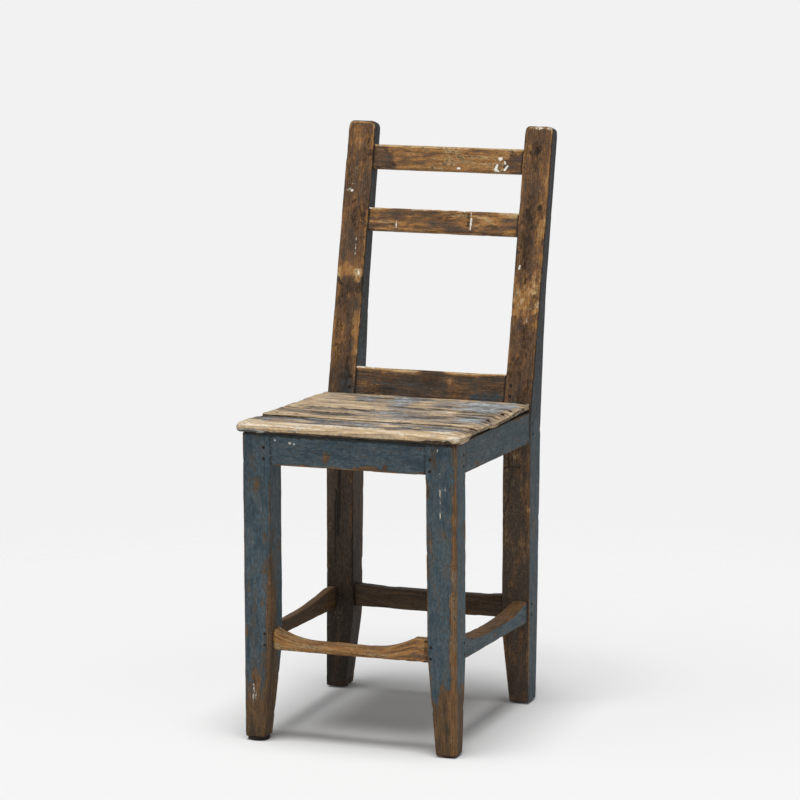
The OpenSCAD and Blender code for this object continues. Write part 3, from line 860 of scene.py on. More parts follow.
def rubbed_post(side):
    """A rear leg and post with its rubbed front, its grime, painted shade and its cracks."""
    seed = 300 if side < 0 else 400
    post = back_post(side, seed)
    z = post.at[:, 2]
    front = facing_share(post, (0, -1, 0.1))
    low = ramp(z, 425, 405)
    upper = 1 - low
    rub_paint(post, edge=2.0, patches=0.5, base=0.02)
    post.bare += front * 1.0
    inner = facing_share(post, (-side, 0, 0))
    post.bare += inner * low
    # rubbed tone and dirt on the front faces
    streaks = post.patches(7, 120, 21)
    broad = post.patches(30, 90, 22)
    post.grime += front * upper * (0.4 + 0.3 * streaks + 0.36 * broad)
    # Below the seat the front and inner faces darken, most towards the floor. This is partly dirt and
    # partly painted shade of the seat over the rear legs.
    post.grime += ((front + inner) * low * (0.2 * streaks + 0.45 * ramp(z, 330, 150)
                                               + (0.4 if side < 0 else -0.2)))
    post.warm += (-0.5 * front - 0.3 * inner) * low
    blue_foot = front * ramp(z, 520, 450) * upper * ramp(post.patches(12, 50, 26), -0.2, 0.5)
    post.bare -= 0.5 * blue_foot
    rims = ramp(post.rim, 7.0, 1.0) * front * ramp(post.patches(14, 50, 24), -0.5, 0.4)
    post.warm += rims * 0.4 + front * 0.3 * post.patches(16, 60, 23)
    post.warm += 0.9 * ramp(post.rim, 4.0, 1.0) * ramp(z, 820, 832) * front
    # The rubbed rims are cleaner. The thin dark line along the front faces' rounded edges is painted
    # shade.
    post.grime += (-0.25 * rims + 0.5 * front * ramp(post.rim, 1.6, 0.4)) * upper
    post.grime += (0.75 + 0.5 * ramp(z, 430, 640)) * (1 - front) * upper
    for kind, px, pz, wide, tall, amount in POST_TONES[side]:
        post.spot(kind, back_spot(px, pz), (wide, 16, tall), amount, 0.8)
    base = front * ramp(z, 510, 455) * upper
    post.grime += base * (0.22 + 0.2 * streaks)
    post.warm -= 0.35 * base
    if side < 0:
        pressed = front * ramp(z, 611.5, 614) * ramp(z, 655, 622)
        post.warm += 0.26 * pressed
        post.grime += -0.3 * pressed + 0.3 * front * ramp(z, 613.5, 611.5) * ramp(z, 560, 610)
        post.spot("warm", back_spot(-123, 615), (6, 10, 11), 0.8, 0.5)
        post.spot("grime", back_spot(-123, 615), (6, 10, 11), -0.6, 0.5)
        post.spot("chalk", back_spot(-123, 618), (2.5, 8, 3), 0.6, 0.8)
        post.spot("chalk", back_spot(-122, 607), (1.8, 8, 4), 0.6, 0.8)
        post.stroke("chalk", back_spot(-132, 668), back_spot(-131, 640), 1.9, 0.6)
        for n, height in enumerate((741, 738, 735, 746)):
            post.stroke("chalk", back_spot(-155 + n, height), back_spot(-143 + n, height - 1), 1.6, 0.42)
        post.crack((-138, POST_FRONT, 235), (-135, POST_FRONT, 385), 2.8, 1.0, 1.6)
        post.crack((-144, POST_FRONT, 190), (-142, POST_FRONT, 300), 1.4, 0.6)
    else:
        post.spot("chalk", back_spot(123, 637), (1.6, 8, 4), 0.7)
        post.crack(back_spot(117, 580), back_spot(128, 576), 1.6, 0.8)
        for px, pz in ((148, 722), (151, 640), (137, 803)):
            post.spot("grime", back_spot(px, pz), (3, 6, 5), 0.9)
        post.spot("chalk", back_spot(140, 585), (14, 16, 32), 0.26, 0.9)
        flaky = front * ramp(z, 545, 560) * ramp(z, 640, 615) * ramp(post.patches(5, 12, 27), -0.3, 0.5)
        post.warm += 0.45 * flaky
        post.grime -= 0.35 * flaky
        post.spot("chalk", back_spot(140, 836), (14, 16, 3), 0.5, 0.9)
        post.crack((126, POST_FRONT, 354), (123, POST_FRONT, 408), 2.0, 0.9)
        post.crack((117, POST_FRONT, 350), (144, POST_FRONT, 354), 1.8, 0.8)
        post.crack((131, POST_FRONT, 350), (122, POST_FRONT, 290), 1.6, 0.6)
    post.grime += 0.2 * ramp(z, 240, 120) * front
    post.weather(0.5, 1.3)
    return post


def aprons():
    """The four timbers under the seat, each with its name, node and slot."""
    low, high = -INNER - STUB, WIDE_INNER + STUB

    def front_place(p):
        y = p[:, 1] + 10.5
        drop = (RAIL_TOP - fall(y)) * (p[:, 2] / 22.5 + 1) / 2
        return np.stack([p[:, 0] + (low + high) / 2, y, p[:, 2] + 417.5 - drop], axis=1)

    front = bar((high - low, 20.0, 45.0), (1.8, 2.0, 1.7), LEVEL, 1.3, front_place, 0, 500,
                "blue_painted_pine")
    rub_paint(front, edge=1.3, patches=0.35, base=0.1)
    front.spot("chalk", (-108, 0, 430), (1.6, 4, 1.8), 0.75, 0.9)
    front.spot("chalk", (-86, 0, 428), (1.8, 4, 1.3), 0.75, 0.9)
    front.spot("chalk", (-80, 0, 426), (1.5, 4, 1.6), 0.7, 0.9)
    front.spot("bare", (-32, 0, 412), (4, 5, 9), 0.45, 0.9)
    front.spot("bare", (32, 0, 396), (30, 9, 8), 1.0, 0.6)
    front.stroke("bare", (-60, 0, 395), (20, 0, 395), 2.0, 0.6)
    front.stroke("bare", (20, 0, 394.5), (108, 0, 394.5), 2.8, 0.7)
    front.warm += 0.5 * ramp(front.at[:, 2], 405, 395)
    # Painted shadow under the seat's overhanging nose: the top strip of the apron is darkened and its
    # paint is kept.
    nose_shadow = ramp(front.at[:, 2], 432.5, 437)
    front.grime += 1.3 * nose_shadow
    front.weather(0.3, 0.9)
    front.bare -= 1.5 * nose_shadow
    yield "front_apron_board", "front_apron", "blue_painted_pine", front

    rear_low, rear_high = node_box("rear_apron")

    def rear_place(p):
        return p + ((rear_low + rear_high) / 2 - (0, FRONT, 0))

    rear = bar((CLEAR + 2 * STUB, 20.0, rear_high[2] - rear_low[2]), (2.4, 2.4, 2.2), LEVEL, 1.5,
               rear_place, 0, 520, "grimed_pine")
    rear.bare += 1.0
    rear.grime += 0.6
    rear.weather(0.4, 1.0)
    yield "rear_apron_board", "rear_apron", "grimed_pine", rear

    for side, word in ((-1, "left"), (1, "right")):
        length = POST_FRONT - LEG_DEPTH + 2 * STUB

        def side_place(p):
            y = p[:, 1] + (LEG_DEPTH + POST_FRONT) / 2
            return np.stack([side * 146.5 + p[:, 0], y, p[:, 2] + fall(y) - 22.5], axis=1)

        board = bar((20.0, length, 45.0), (2.0, 1.9, 1.8), LEVEL, 1.3, side_place, 1, 540 + side,
                    "blue_painted_pine")
        inner = facing_share(board, (-side, 0, 0))
        rub_paint(board, edge=1.3, patches=0.4, base=0.12)
        board.grime += 0.4
        board.bare += inner
        board.grime += 0.6 * inner
        board.weather(0.3, 0.9)
        yield word + "_apron_board", word + "_apron", "blue_painted_pine", board


def back_rails():
    """The three rails of the leaning back."""
    for name, node, start, tall, seed in (
            ("lower_rail", "lower_back_rail", 16.0, 46.0, 600),
            ("middle_rail", "middle_back_rail", 262.6, 34.2, 620),
            ("top_rail", "crest_rail", 354.3, 36.3, 640)):
        def place(p):
            return leant(p[:, 0], p[:, 1] + 10.5, p[:, 2] + start + tall / 2)

        sag = worn_hollow(-110, 110, 50, 50, 1.2) if name == "lower_rail" else LEVEL
        rail = bar((CLEAR + 2 * STUB, 18.0, tall), (1.7, 1.9, 1.6), sag, 3.0, place, 0, seed,
                   "rubbed_pine")
        rail.bare += 1.0
        front = facing_share(rail, (0, -1, 0))
        if name == "top_rail":
            rail.warm += 0.44 + 0.2 * rail.patches(18, 60, 21)
            rail.grime += 0.02 + 0.24 * rail.patches(12, 30, 22)
            for px in (-104, 106):
                rail.spot("grime", back_spot(px, 785), (17, 14, 22), 0.4, 0.7)
                rail.spot("warm", back_spot(px, 785), (17, 14, 22), -0.6, 0.7)
            for px, pz, wide, tall in ((81, 790, 3.5, 3.5), (18, 774, 2.5, 2)):
                rail.spot("chalk", back_spot(px, pz), (wide, 8, tall), 1.0, 0.6)
            for start, end, width, amount in (
                    ((88, 786), (89, 784), 3.3, 1.0), ((94, 781), (89, 775), 3.4, 1.1),
                    ((76, 779), (75, 776), 3.6, 1.1), ((76, 774), (79, 772), 3.8, 1.1),
                    ((32, 779), (33, 770), 2.4, 0.9)):
                rail.stroke("chalk", back_spot(*start), back_spot(*end), width, amount)
        elif name == "middle_rail":
            rail.warm += 0.3 + 0.3 * rail.patches(14, 60, 21)
            rail.grime += 0.2 + 0.5 * rail.patches(5, 45, 22) + 0.35 * rail.patches(3.5, 16, 27)
            rail.warm += 0.55 * rail.patches(4.5, 26, 28)
            rail.stroke("grime", back_spot(39.5, 708), back_spot(39.5, 692), 3.0, 0.9)
            rail.stroke("chalk", back_spot(44, 713), back_spot(43.5, 688), 2.6, 1.0)
            rail.stroke("chalk", back_spot(-72, 701), back_spot(-72, 686), 2.3, 0.9)
            rail.stroke("chalk", back_spot(90, 698), back_spot(90, 688), 2.2, 0.8)
        else:
            rail.warm += -0.3 + 0.35 * rail.patches(20, 50, 21) + 0.2 * rail.patches(14, 10, 31)
            rail.grime += 0.4 + 0.4 * rail.patches(9, 30, 22)
            held = ramp(rail.patches(12, 40, 26), -0.5, 0.4)
            rail.bare -= 0.75 * held * ramp(rail.block[:, 2], 12, -10)
            rail.spot("warm", back_spot(35, 465), (8, 14, 24), 0.3)
            rail.grime -= 0.3 * ramp(rail.patches(12, 12, 29), 0.1, 0.7)
        # The top edges are lighter and whiter. This is worn pale wood and also a painted highlight where
        # the light falls on them, and the same goes for the pale strip at the top of the front face.
        crown = ramp(rail.face[:, 2], 0.26, 0.5)
        pale_top = ramp(rail.patches(8, 60, 25), -0.9, 0.1)
        rail.warm += 1.5 * crown * pale_top
        rail.grime += -0.9 * crown * pale_top - 0.12 * ramp(rail.rim, 4, 1) * front
        rail.chalk += 0.42 * crown * ramp(rail.patches(8, 40, 30), -0.3, 0.5)
        wide, pale = (8.5, 1.1) if name == "lower_rail" else (4.6, 0.5)
        near_top = ramp(rail.half[2] - rail.block[:, 2], wide, 0.4 * wide) * pale_top
        rail.warm += pale * near_top
        rail.grime -= 0.8 * near_top
        for end in (-INNER, INNER):
            rail.grime += 0.9 * ramp(np.abs(rail.at[:, 0] - end), 2.2, 0.4)
        rail.weather(0.35, 1.0)
        yield name, node, "rubbed_pine", rail


def stretchers():
    """The four stretchers, worn hollow along their tops."""
    def front_place(p):
        return np.stack([p[:, 0] - 1, p[:, 1] + 18.5, p[:, 2] + 147.0], axis=1)

    hollow = worn_hollow(-INNER, 93.5, 62, 62, 18.0)
    front = bar((CLEAR + 2 * STUB, 25.0, 32.0), (1.5, 1.6, 1.5), hollow, 3.0, front_place, 0, 700,
                "rubbed_pine")
    front.bare += 1.0
    front.warm += 0.45 + 0.4 * front.patches(8, 40, 21)
    front.grime += 0.1 + 0.3 * front.patches(4.5, 30, 22)
    front.grime += 0.5 * ramp(front.at[:, 2], 140, 131)
    front.weather(0.5, 1.0)
    yield "front_stretcher_bar", "front_stretcher", "rubbed_pine", front

    def rear_place(p):
        return np.stack([p[:, 0], p[:, 1] + 347.5, p[:, 2] + 142.0], axis=1)

    hollow = worn_hollow(-INNER, INNER, 60, 60, 3.0)
    rear = bar((CLEAR + 2 * STUB, 20.0, 34.0), (2.2, 2.2, 2.0), hollow, 2.4, rear_place, 0, 720,
               "grimed_pine")
    rear.bare += 1.0
    rear.grime += 0.45 + 0.2 * rear.patches(12, 60, 22)
    rear.weather(0.5, 1.0)
    yield "rear_stretcher_bar", "rear_stretcher", "grimed_pine", rear

    middle = (LEG_DEPTH + POST_FRONT) / 2
    for side, word, thick, scoop, runs, end in (
            (-1, "left", 12.5, 13.5, (100, 165), 308.5),
            (1, "right", 21.0, 10.0, (130, 140), POST_FRONT)):

        def side_place(p):
            y = p[:, 1] + middle
            x = side * (154.5 - thick / 2) + p[:, 0]
            return np.stack([x, y, p[:, 2] + 131.5 - 0.03 * y + 16.5], axis=1)

        hollow = worn_hollow(LEG_DEPTH - middle, end - middle, *runs, scoop)
        rung = bar((thick, POST_FRONT - LEG_DEPTH + 2 * STUB, 33.0), (1.6, 1.9, 1.6), hollow, 2.4,
                   side_place, 1, 740 + side, "blue_painted_pine")
        top = facing_share(rung, (0, 0, 1), 0.25, 0.75)
        inner = facing_share(rung, (-side, 0, 0))
        if side > 0:
            slope = ramp(rung.at[:, 0], 146, 154.5) * ramp(rung.block[:, 2], 4, 16)
            rung.at[:, 2] -= 4.0 * slope * ramp(np.abs(rung.block[:, 1]), 140, 80)
        rub_paint(rung, edge=2.2, patches=0.5, base=0.08)
        rung.bare += 1.1 * top + 0.9 * inner
        rung.warm += 0.3 * top
        rung.grime += 0.4 * inner
        rung.weather(0.4, 1.1)
        yield word + "_stretcher_bar", word + "_stretcher", "blue_painted_pine", rung


def seat_boards():
    """The three boards of the seat, worn, ragged and open at their joints."""
    plans = {       # where each board starts and ends, then the line of its left and right end
        "front": (-9.0, 87.0, [(-9, -163), (0, -165.5), (40, -166), (60, -163.5), (70, -159.5),
                               (87, -160)],
                  [(-9, 160), (0, 164), (12, 165.8), (32, 165.5), (48, 162), (87, 161)]),
        "middle": (88.2, 188.0, [(88, -163), (113, -165.5), (188, -164.5)],
                   [(88, 160), (137, 160), (144, 166), (150, 165.5), (188, 162)]),
        "rear": (189.2, 334.0, [(189, -164.5), (335, -162.5)], [(189, 162), (228, 160), (335, 157)]),
    }
    for n, (word, (start, end, left, right)) in enumerate(plans.items()):
        seed = 800 + 20 * n
        size = np.array([330.0, end - start, SEAT_T])
        half = size / 2
        gaps = ((1.8, 0.8), (1.5, 0.7), (1.8, 0.8))
        block, quads = block_shell([stations(wide, *gap) for wide, gap in zip(size, gaps)])
        radius = 2.4 + 0.8 * noise(block, np.full(3, 30.0), seed)
        if word == "front":
            radius = radius + 3.4 * ramp(block[:, 1], -half[1] + 16, -half[1] + 7)
            radius = radius + 2.0 * ramp(block[:, 0], half[0] - 16, half[0] - 7)
        shaped = rounded(block, half, radius)
        s = shaped[:, 1] + (start + end) / 2
        across = (shaped[:, 0] / half[0] + 1) / 2
        x_left, x_right = (eased(s, table, 2.0) for table in (left, right))
        ragged = 1.0 * noise(block, (9, 12, 20), seed + 3) + 1.4 * noise(block, (30, 24, 20), seed + 4)
        x_left = x_left + np.maximum(0, ragged + 0.6) * ramp(s, 0, 50)
        x_right = x_right - np.maximum(0, ragged * 1.3 + 0.8) * ramp(s, 10, 50)
        x = x_left * (1 - across) + x_right * across
        t = shaped[:, 2] + SEAT_T / 2
        thin = ramp(x, 140, 161)
        t = t + 4.5 * thin * ramp(s, 25, 60) * (1 - t / SEAT_T)
        t = t - 3.2 * thin * ramp(s, 12, 40) * ramp(s, 330, 240) * t / SEAT_T
        board = Timber(block, quads, half, seated(x, s, t), 0, seed)
        board.seat = np.stack([x, s, t], axis=1)
        top = facing_share(board, (0, 0, 1), 0.3, 0.7)
        # the right edge and the joints are worn thin
        board.sink(1.4 * top * thin * (0.7 + 0.6 * noise(block, (20, 16, 20), seed + 6)))
        seat_wear(word, board, top)
        yield word + "_seat_board", "seat_%s_board" % word, "scrubbed_seat_pine", board


SEAT_PATCHES = [    # middle along X and S, reach along X and S, then bare, grime and warm
    (-75, 290, 20, 24, -0.5, 0.1, -0.3), (-22, 285, 30, 30, -0.7, -0.1, -0.2),
    (-15, 240, 18, 16, -0.5, 0.1, -0.2), (46, 258, 22, 12, -0.3, 0.45, -0.2),
    (105, 290, 48, 32, -0.8, -0.15, -0.2), (112, 245, 40, 24, -0.6, 0.1, -0.2),
    (30, 300, 26, 12, -0.2, 0.1, 0.1), (20, 205, 40, 12, -0.3, 0.35, -0.2),
    (66, 200, 20, 20, 0.2, 0.0, 0.4), (0, 165, 34, 16, -0.5, 0.25, -0.3),
    (132, 152, 28, 30, -0.7, 0.3, -0.3), (55, 140, 40, 14, -0.3, 0.3, -0.1),
    (20, 122, 34, 10, -0.4, -0.1, -0.2), (-118, 137, 52, 9, 0.1, 0.75, 0.2),
    (-60, 142, 26, 8, 0.1, 0.5, 0.0), (-110, 165, 60, 10, 0.3, 0.0, 0.35),
    (-110, 215, 60, 30, 0.2, -0.05, 0.1), (-50, 111, 110, 9, 0.4, -0.35, 0.0),
    (-130, 64, 36, 16, -0.2, 0.4, -0.3), (-60, 56, 50, 17, -0.5, 0.3, -0.3),
    (10, 58, 30, 18, -0.6, 0.05, -0.2), (60, 66, 30, 12, 0.0, 0.1, 0.0),
    (112, 58, 34, 20, -0.5, 0.35, -0.2), (60, 40, 44, 10, -0.4, 0.4, -0.2),
    (130, 200, 40, 8, 0.3, 0.1, 0.6), (-40, 190, 36, 4, 0.2, 0.4, 0.5),
    (-96, 46, 30, 9, 0.9, -0.6, 0.4), (-34, 44, 24, 7, 0.7, -0.5, 0.2),
    (-20, 72, 40, 8, 0.8, -0.6, 0.4), (38, 52, 24, 13, 0.9, -0.7, 0.5),
    (84, 46, 20, 9, 0.9, -0.6, 0.4), (98, 76, 40, 8, 0.7, -0.5, 0.3),
    (140, 74, 14, 12, 0.8, -0.5, 0.4), (104, 302, 40, 16, -0.3, -0.4, -0.2),
    (60, 278, 26, 8, -0.2, -0.3, -0.1), (-12, 312, 28, 8, -0.3, -0.3, -0.1),
]
SEAT_HOLES = [(-149, 61), (-154, 243), (-149, 291), (137, 51), (150, 161), (150, 142), (-118, 96)]


def seat_wear(word, board, top):
    """Colour, dirt, painted shade and highlights, and breaks of one seat board."""
    x, s, t = board.seat.T
    spread = np.stack([x, s * 2.6, t], axis=1)
    under = facing_share(board, (0, 0, -1), 0.3, 0.7)
    board.bare += 0.7
    fine = board.patches(6, 26, 31)
    band = board.patches(12, 70, 32)
    ragged = 0.55 * layered(spread, (34, 22, 30), 31) + 0.3 * fine
    for px, ps, reach_x, reach_s, bare, grime, warm in SEAT_PATCHES:
        away = np.hypot((x - px) / reach_x, (s - ps) / reach_s) + ragged
        share = ramp(away, 1.25, 0.55) * top
        for channel, amount in zip(("bare", "grime", "warm"), (bare, grime, warm)):
            board.add(channel, amount * share)
    board.bare -= 0.3 * top * ramp(fine + band, 0.2, 1.2) * ramp(s, 12, 40)
    streak = board.patches(7, 34, 37)
    board.warm += 0.4 * top * streak
    board.grime += 0.5 * top * ramp(board.patches(7, 40, 38), 0.15, 0.7) * ramp(s, 12, 40)
    board.bare += 0.5 * ramp(x, 140, 155) + 0.3 * ramp(x, -140, -155) + 0.6 * ramp(s, 26, 10)
    board.grime += 0.2 + 0.4 * fine + 0.45 * band
    board.warm += -0.1 + 0.3 * board.patches(9, 60, 35)
    # Painted shade on the boards' undersides.
    board.grime += 0.6 * under
    for px, ps in SEAT_HOLES:
        hole = ramp(np.hypot(x - px, s - ps), 4.6, 2.6) * top
        board.grime += 1.2 * hole
        board.sink(1.5 * hole)
    edge = ramp(board.rim, 5, 0.5)
    board.warm += 0.5 * edge * ramp(x, 140, 156)
    side = facing_share(board, (1, 0, 0), 0.3, 0.8) * ramp(s, 8, 30)
    board.grime += side * (0.55 + 0.3 * fine)
    board.warm += 0.3 * side
    # Troughs along the grain are sunk and darkened with dirt and painted shade. The crests between them
    # are lighter, as a painted highlight.
    trough = top * ramp(board.patches(9, 60, 36), -0.1, 0.6) * ramp(s, 12, 30)
    board.sink(1.1 * trough)
    board.grime += 0.55 * trough
    board.warm += (0.3 - 0.5 * trough) * top
    if word == "front":
        nose = ramp(s + 8 * fine, 30, 20)
        board.grime += nose * (-0.35 - 0.4 * band - 0.25 * fine)
        board.warm += 0.4 * nose
        behind = top * ramp(s + 10 * fine, 30, 40)
        board.bare -= 0.34 * behind
        board.grime += 0.24 * behind
        board.warm -= 0.25 * behind
        # Painted shade on the lower part of the nose's front, where it overhangs the apron.
        board.grime += 1.2 * ramp(t, 4.4, 2.6) * ramp(s, 4, -2)
        board.grime += 0.35 * ramp(t, 7.0, 3.0) * ramp(s, 4, -2)
        gap = ramp(x + 6 * fine, -86, -104) * ramp(s + 2 * fine, 68, 76)
        board.sink(top * (4.2 * gap + 1.3 * ramp(s, 74, 82)))
        board.grime += 1.8 * gap
        board.grime += 1.2 * ramp(s + 1.5 * fine, 81, 84)
        corner = ramp(x + 5 * fine, -108, -124) * ramp(t, 6.5, 4.0) * ramp(s, 10, 4)
        board.bare -= 1.5 * corner
        board.chalk += 0.7 * corner * ramp(fine, 0.3, 0.6)
        for px, ps, reach in ((118, -6, 9), (133, -7, 11), (147, -6, 6)):
            torn = np.hypot((x - px) / reach, (t - 3.0) / 3.2) + 0.3 * fine
            torn = ramp(torn, 1.1, 0.7) * ramp(s, 8, 0)
            board.sink(2.4 * torn)
            board.grime += 1.5 * torn
    elif word == "middle":
        lip = ramp(s + 3 * fine, 106, 98)
        board.sink(-1.8 * top * ramp(s, 106, 94) * ramp(x, -66, -92))
        step = ramp(t, SEAT_T - 0.6, SEAT_T - 1.8) * ramp(s, 92, 90)
        board.grime += step * (1.0 + 0.8 * ramp(x, -90, -104))
        board.bare += 0.5 * lip
        board.warm += 0.4 * lip * ramp(x, 100, 60)
        board.grime -= 0.45 * lip * top * ramp(x, 100, 60)
        board.crack(seated(-170, 140, SEAT_T), seated(-55, 143, SEAT_T), 3.4, 1.2)
    else:
        board.grime += 0.6 * ramp(s, 191.5, 189.5)
        board.grime += 0.5 * ramp(s, 326, 333) * top
    board.weather(0.5, 1.4)


# Pegs, nails and pads

PEG_ROWS = {    # the side that each row of pegs was driven from; None is its leg's outer side
    "front_apron_pegs": (0, -1, 0), "rear_apron_pegs": (0, 1, 0), "back_rail_pegs": (0, -1, 0),
    "front_stretcher_pegs": (0, -1, 0), "rear_stretcher_pegs": (0, 1, 0),
    "side_apron_pegs": None, "side_stretcher_pegs": None,
}


def loose_parts(node):
    """Middle, direction and reach along it of each round part in a frame node, in metres."""
    work = bmesh.new()
    work.from_mesh(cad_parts[node].data)
    bmesh.ops.remove_doubles(work, verts=work.verts, dist=1e-6)
    work.verts.index_update()
    left, found = set(work.verts), []
    while left:
        part, edge = set(), [left.pop()]
        while edge:
            point = edge.pop()
            part.add(point)
            near = {e.other_vert(point) for e in point.link_edges} & left
            left -= near
            edge.extend(near)
        co = np.array([v.co for v in sorted(part, key=lambda v: v.index)])
        middle = (co.min(0) + co.max(0)) / 2
        axis = np.linalg.svd(co - co.mean(0), full_matrices=False)[2][0]
        found.append((middle, axis, (co - middle) @ axis))
    work.free()
    return sorted(found, key=lambda part: tuple(np.round(part[0], 4)))


def driven(node, outward=None):
    """Heads of the parts of a node: where each one ends, and the way that it looks."""
    heads = []
    for middle, axis, reach in loose_parts(node):
        way = np.array(outward or (np.sign(middle[0]), 0, 0), float)
        axis = axis * np.sign(axis @ way)
        heads.append((middle + axis * np.ptp(reach) / 2, axis))
    return heads


def heads_piece(name, heads, sizes, slot, nodes):
    """Runs the head nodes on a list of heads, and keeps the result as a plain mesh."""
    points = bpy.data.meshes.new(name + "_points")
    points.from_pydata([at for at, _ in heads], [], [])
    add_layer(points, "aim", "FLOAT_VECTOR", "vector", [aim for _, aim in heads])
    hand_over(name, run_tree(name, "driven_heads", head_tree, sizes, slot, points), slot, nodes)


# Scene settings

def colour(name, description, written):
    """A colour that a user can change."""
    return FloatVectorProperty(name=name, description=description, subtype="COLOR", min=0, max=1,
                               default=tint(written)[:3])


def grey(name, description, value):
    """A grey that a user can change to any colour."""
    return FloatVectorProperty(name=name, description=description, subtype="COLOR",
                               default=(value, value, value))


def length(name, description, metres, least=0.0):
    """A length that a user can change."""
    return FloatProperty(name=name, description=description, default=metres, min=least,
                         unit="LENGTH", subtype="DISTANCE")


def angle(name, description, degrees):
    """An angle that a user can change."""
    return FloatProperty(name=name, description=description, default=math.radians(degrees),
                         unit="ROTATION", subtype="ANGLE")


def amount(name, description, value):
    """A plain number that a user can change."""
    return FloatProperty(name=name, description=description, default=value, min=0.0)


class ChairColours(bpy.types.PropertyGroup):
    """Paint and wood."""
    paint: colour("Paint", "Blue paint that is still whole", "#2e3d44")
    rubbed_paint: colour("Rubbed paint", "Blue paint where it is scuffed", "#4f5d64")
    back_wood: colour("Back wood", "Bare wood of the posts and rails", "#6c5039")
    seat_wood: colour("Seat wood", "Scrubbed wood of the seat", "#bba88c")


class ChairWear(bpy.types.PropertyGroup):
    """How finely the timbers are cut into rows."""
    edge_rows: length("Edge rows", "Gap between the rows of points next to an edge",
                      0.8 * MM, 0.3 * MM)


class ChairFastenings(bpy.types.PropertyGroup):
    """Pegs and nails."""
    peg_width: length("Peg width", "Width of a peg's head", 5 * MM)
    nail_width: length("Nail width", "Width of a seat nail's head", 6 * MM)
    seed: IntProperty(name="Seed", description="Seed of the heads' sizes", default=4)


class ChairStage(bpy.types.PropertyGroup):
    """Camera, lamps and floor."""
    azimuth: angle("Azimuth", "Angle of the camera round the chair", 19.66)
    elevation: angle("Elevation", "Angle of the camera above the floor", 9.33)
    roll: angle("Roll", "Turn of the camera about its view", 0.15)
    distance: length("Distance", "From the camera to the point that it looks at", 5.2585)
    target: FloatVectorProperty(
        name="Target", description="Point that the camera looks at",
        default=(0.00703, -0.02819, 0.46419), unit="LENGTH", subtype="XYZ")
    lens: amount("Lens", "Focal length in millimetres", 166.56)
    ambient: amount("Ambient", "Strength of the even light from all round", 0.08)
    key_strength: amount("Key lamp", "Strength of the lamp above the chair", 2.75)
    left_strength: amount("Left lamp", "Strength of the lamp in front, on the left", 1.55)
    right_strength: amount("Right lamp", "Strength of the lamp in front, on the right", 0.98)
    floor_colour: grey("Floor", "Colour of the floor", 0.79)
    backdrop_colour: grey("Backdrop", "Colour behind the chair", 0.888)


class CHAIR_OT_finishes(bpy.types.Operator):
    """Make the chair's finishes"""
    bl_idname = "chair.finishes"
    bl_label = "Finishes"

    def execute(self, context):
        make_finishes()
        return {"FINISHED"}


class CHAIR_OT_legs(bpy.types.Operator):
    """Make the two painted front legs"""
    bl_idname = "chair.legs"
    bl_label = "Front legs"

    def execute(self, context):
        build_all([("left_front_leg", "front_left_leg", "blue_painted_pine", blue_leg(-1)),
                   ("right_front_leg", "front_right_leg", "blue_painted_pine", blue_leg(1))])
        return {"FINISHED"}


class CHAIR_OT_posts(bpy.types.Operator):
    """Make the two rear legs that run up as the back's posts"""
    bl_idname = "chair.posts"
    bl_label = "Back posts"

    def execute(self, context):
        build_all([("left_back_post", "rear_left_post", "rubbed_pine", rubbed_post(-1)),
                   ("right_back_post", "rear_right_post", "rubbed_pine", rubbed_post(1))])
        return {"FINISHED"}


class CHAIR_OT_aprons(bpy.types.Operator):
    """Make the four aprons under the seat"""
    bl_idname = "chair.aprons"
    bl_label = "Aprons"

    def execute(self, context):
        build_all(aprons())
        return {"FINISHED"}


class CHAIR_OT_rails(bpy.types.Operator):
    """Make the three rails of the back"""
    bl_idname = "chair.rails"
    bl_label = "Back rails"

    def execute(self, context):
        build_all(back_rails())
        return {"FINISHED"}


class CHAIR_OT_stretchers(bpy.types.Operator):
    """Make the four worn stretchers"""
    bl_idname = "chair.stretchers"
    bl_label = "Stretchers"

    def execute(self, context):
        build_all(stretchers())
        return {"FINISHED"}


class CHAIR_OT_seat(bpy.types.Operator):
    """Make the three boards of the seat"""
    bl_idname = "chair.seat"
    bl_label = "Seat boards"

    def execute(self, context):
        build_all(seat_boards())
        return {"FINISHED"}


class CHAIR_OT_fastenings(bpy.types.Operator):
    """Make the pegs that hold the joints and the nails that hold the seat"""
    bl_idname = "chair.fastenings"
    bl_label = "Pegs and nails"

    def execute(self, context):
        parts = context.scene.chair_fastenings
        heads = [head for node, way in PEG_ROWS.items() for head in driven(node, way)]
        heads_piece("joint_pegs", heads, {
            "Width": parts.peg_width, "Depth": 6 * MM, "Dome": 0.5 * MM, "Worn": 0.4 * MM,
            "Sides": 16, "Rings": 5, "Seed": parts.seed}, "peg_wood", list(PEG_ROWS))
        heads_piece("seat_nail_heads", driven("seat_nails", (0, 0, 1)), {
            "Width": parts.nail_width, "Depth": 5 * MM, "Dome": 0.9 * MM, "Worn": 0.3 * MM,
            "Sides": 16, "Rings": 5, "Seed": parts.seed}, "rusted_iron", ["seat_nails"])
        return {"FINISHED"}


class CHAIR_OT_feet(bpy.types.Operator):
    """Make the glide and the pads under the legs"""
    bl_idname = "chair.feet"
    bl_label = "Glide and pads"

    def execute(self, context):
        glide_low, glide_high = node_box("front_left_glide")
        for name, node, across in (
                ("front_left_foot_glide", "front_left_glide", (glide_high[0] - glide_low[0]) * MM),
                ("leg_foot_pads", "foot_pads", PAD_WIDTH)):
            low, high = node_box(node)
            heads = [((*middle[:2], low[2] * MM), (0, 0, -1)) for middle, *_ in loose_parts(node)]
            heads_piece(name, heads, {
                "Width": across, "Depth": (high[2] - low[2]) * MM, "Dome": 0.5 * MM, "Worn": 0.0,
                "Sides": 48, "Rings": 10, "Seed": 3}, "black_pad", [node])
        return {"FINISHED"}


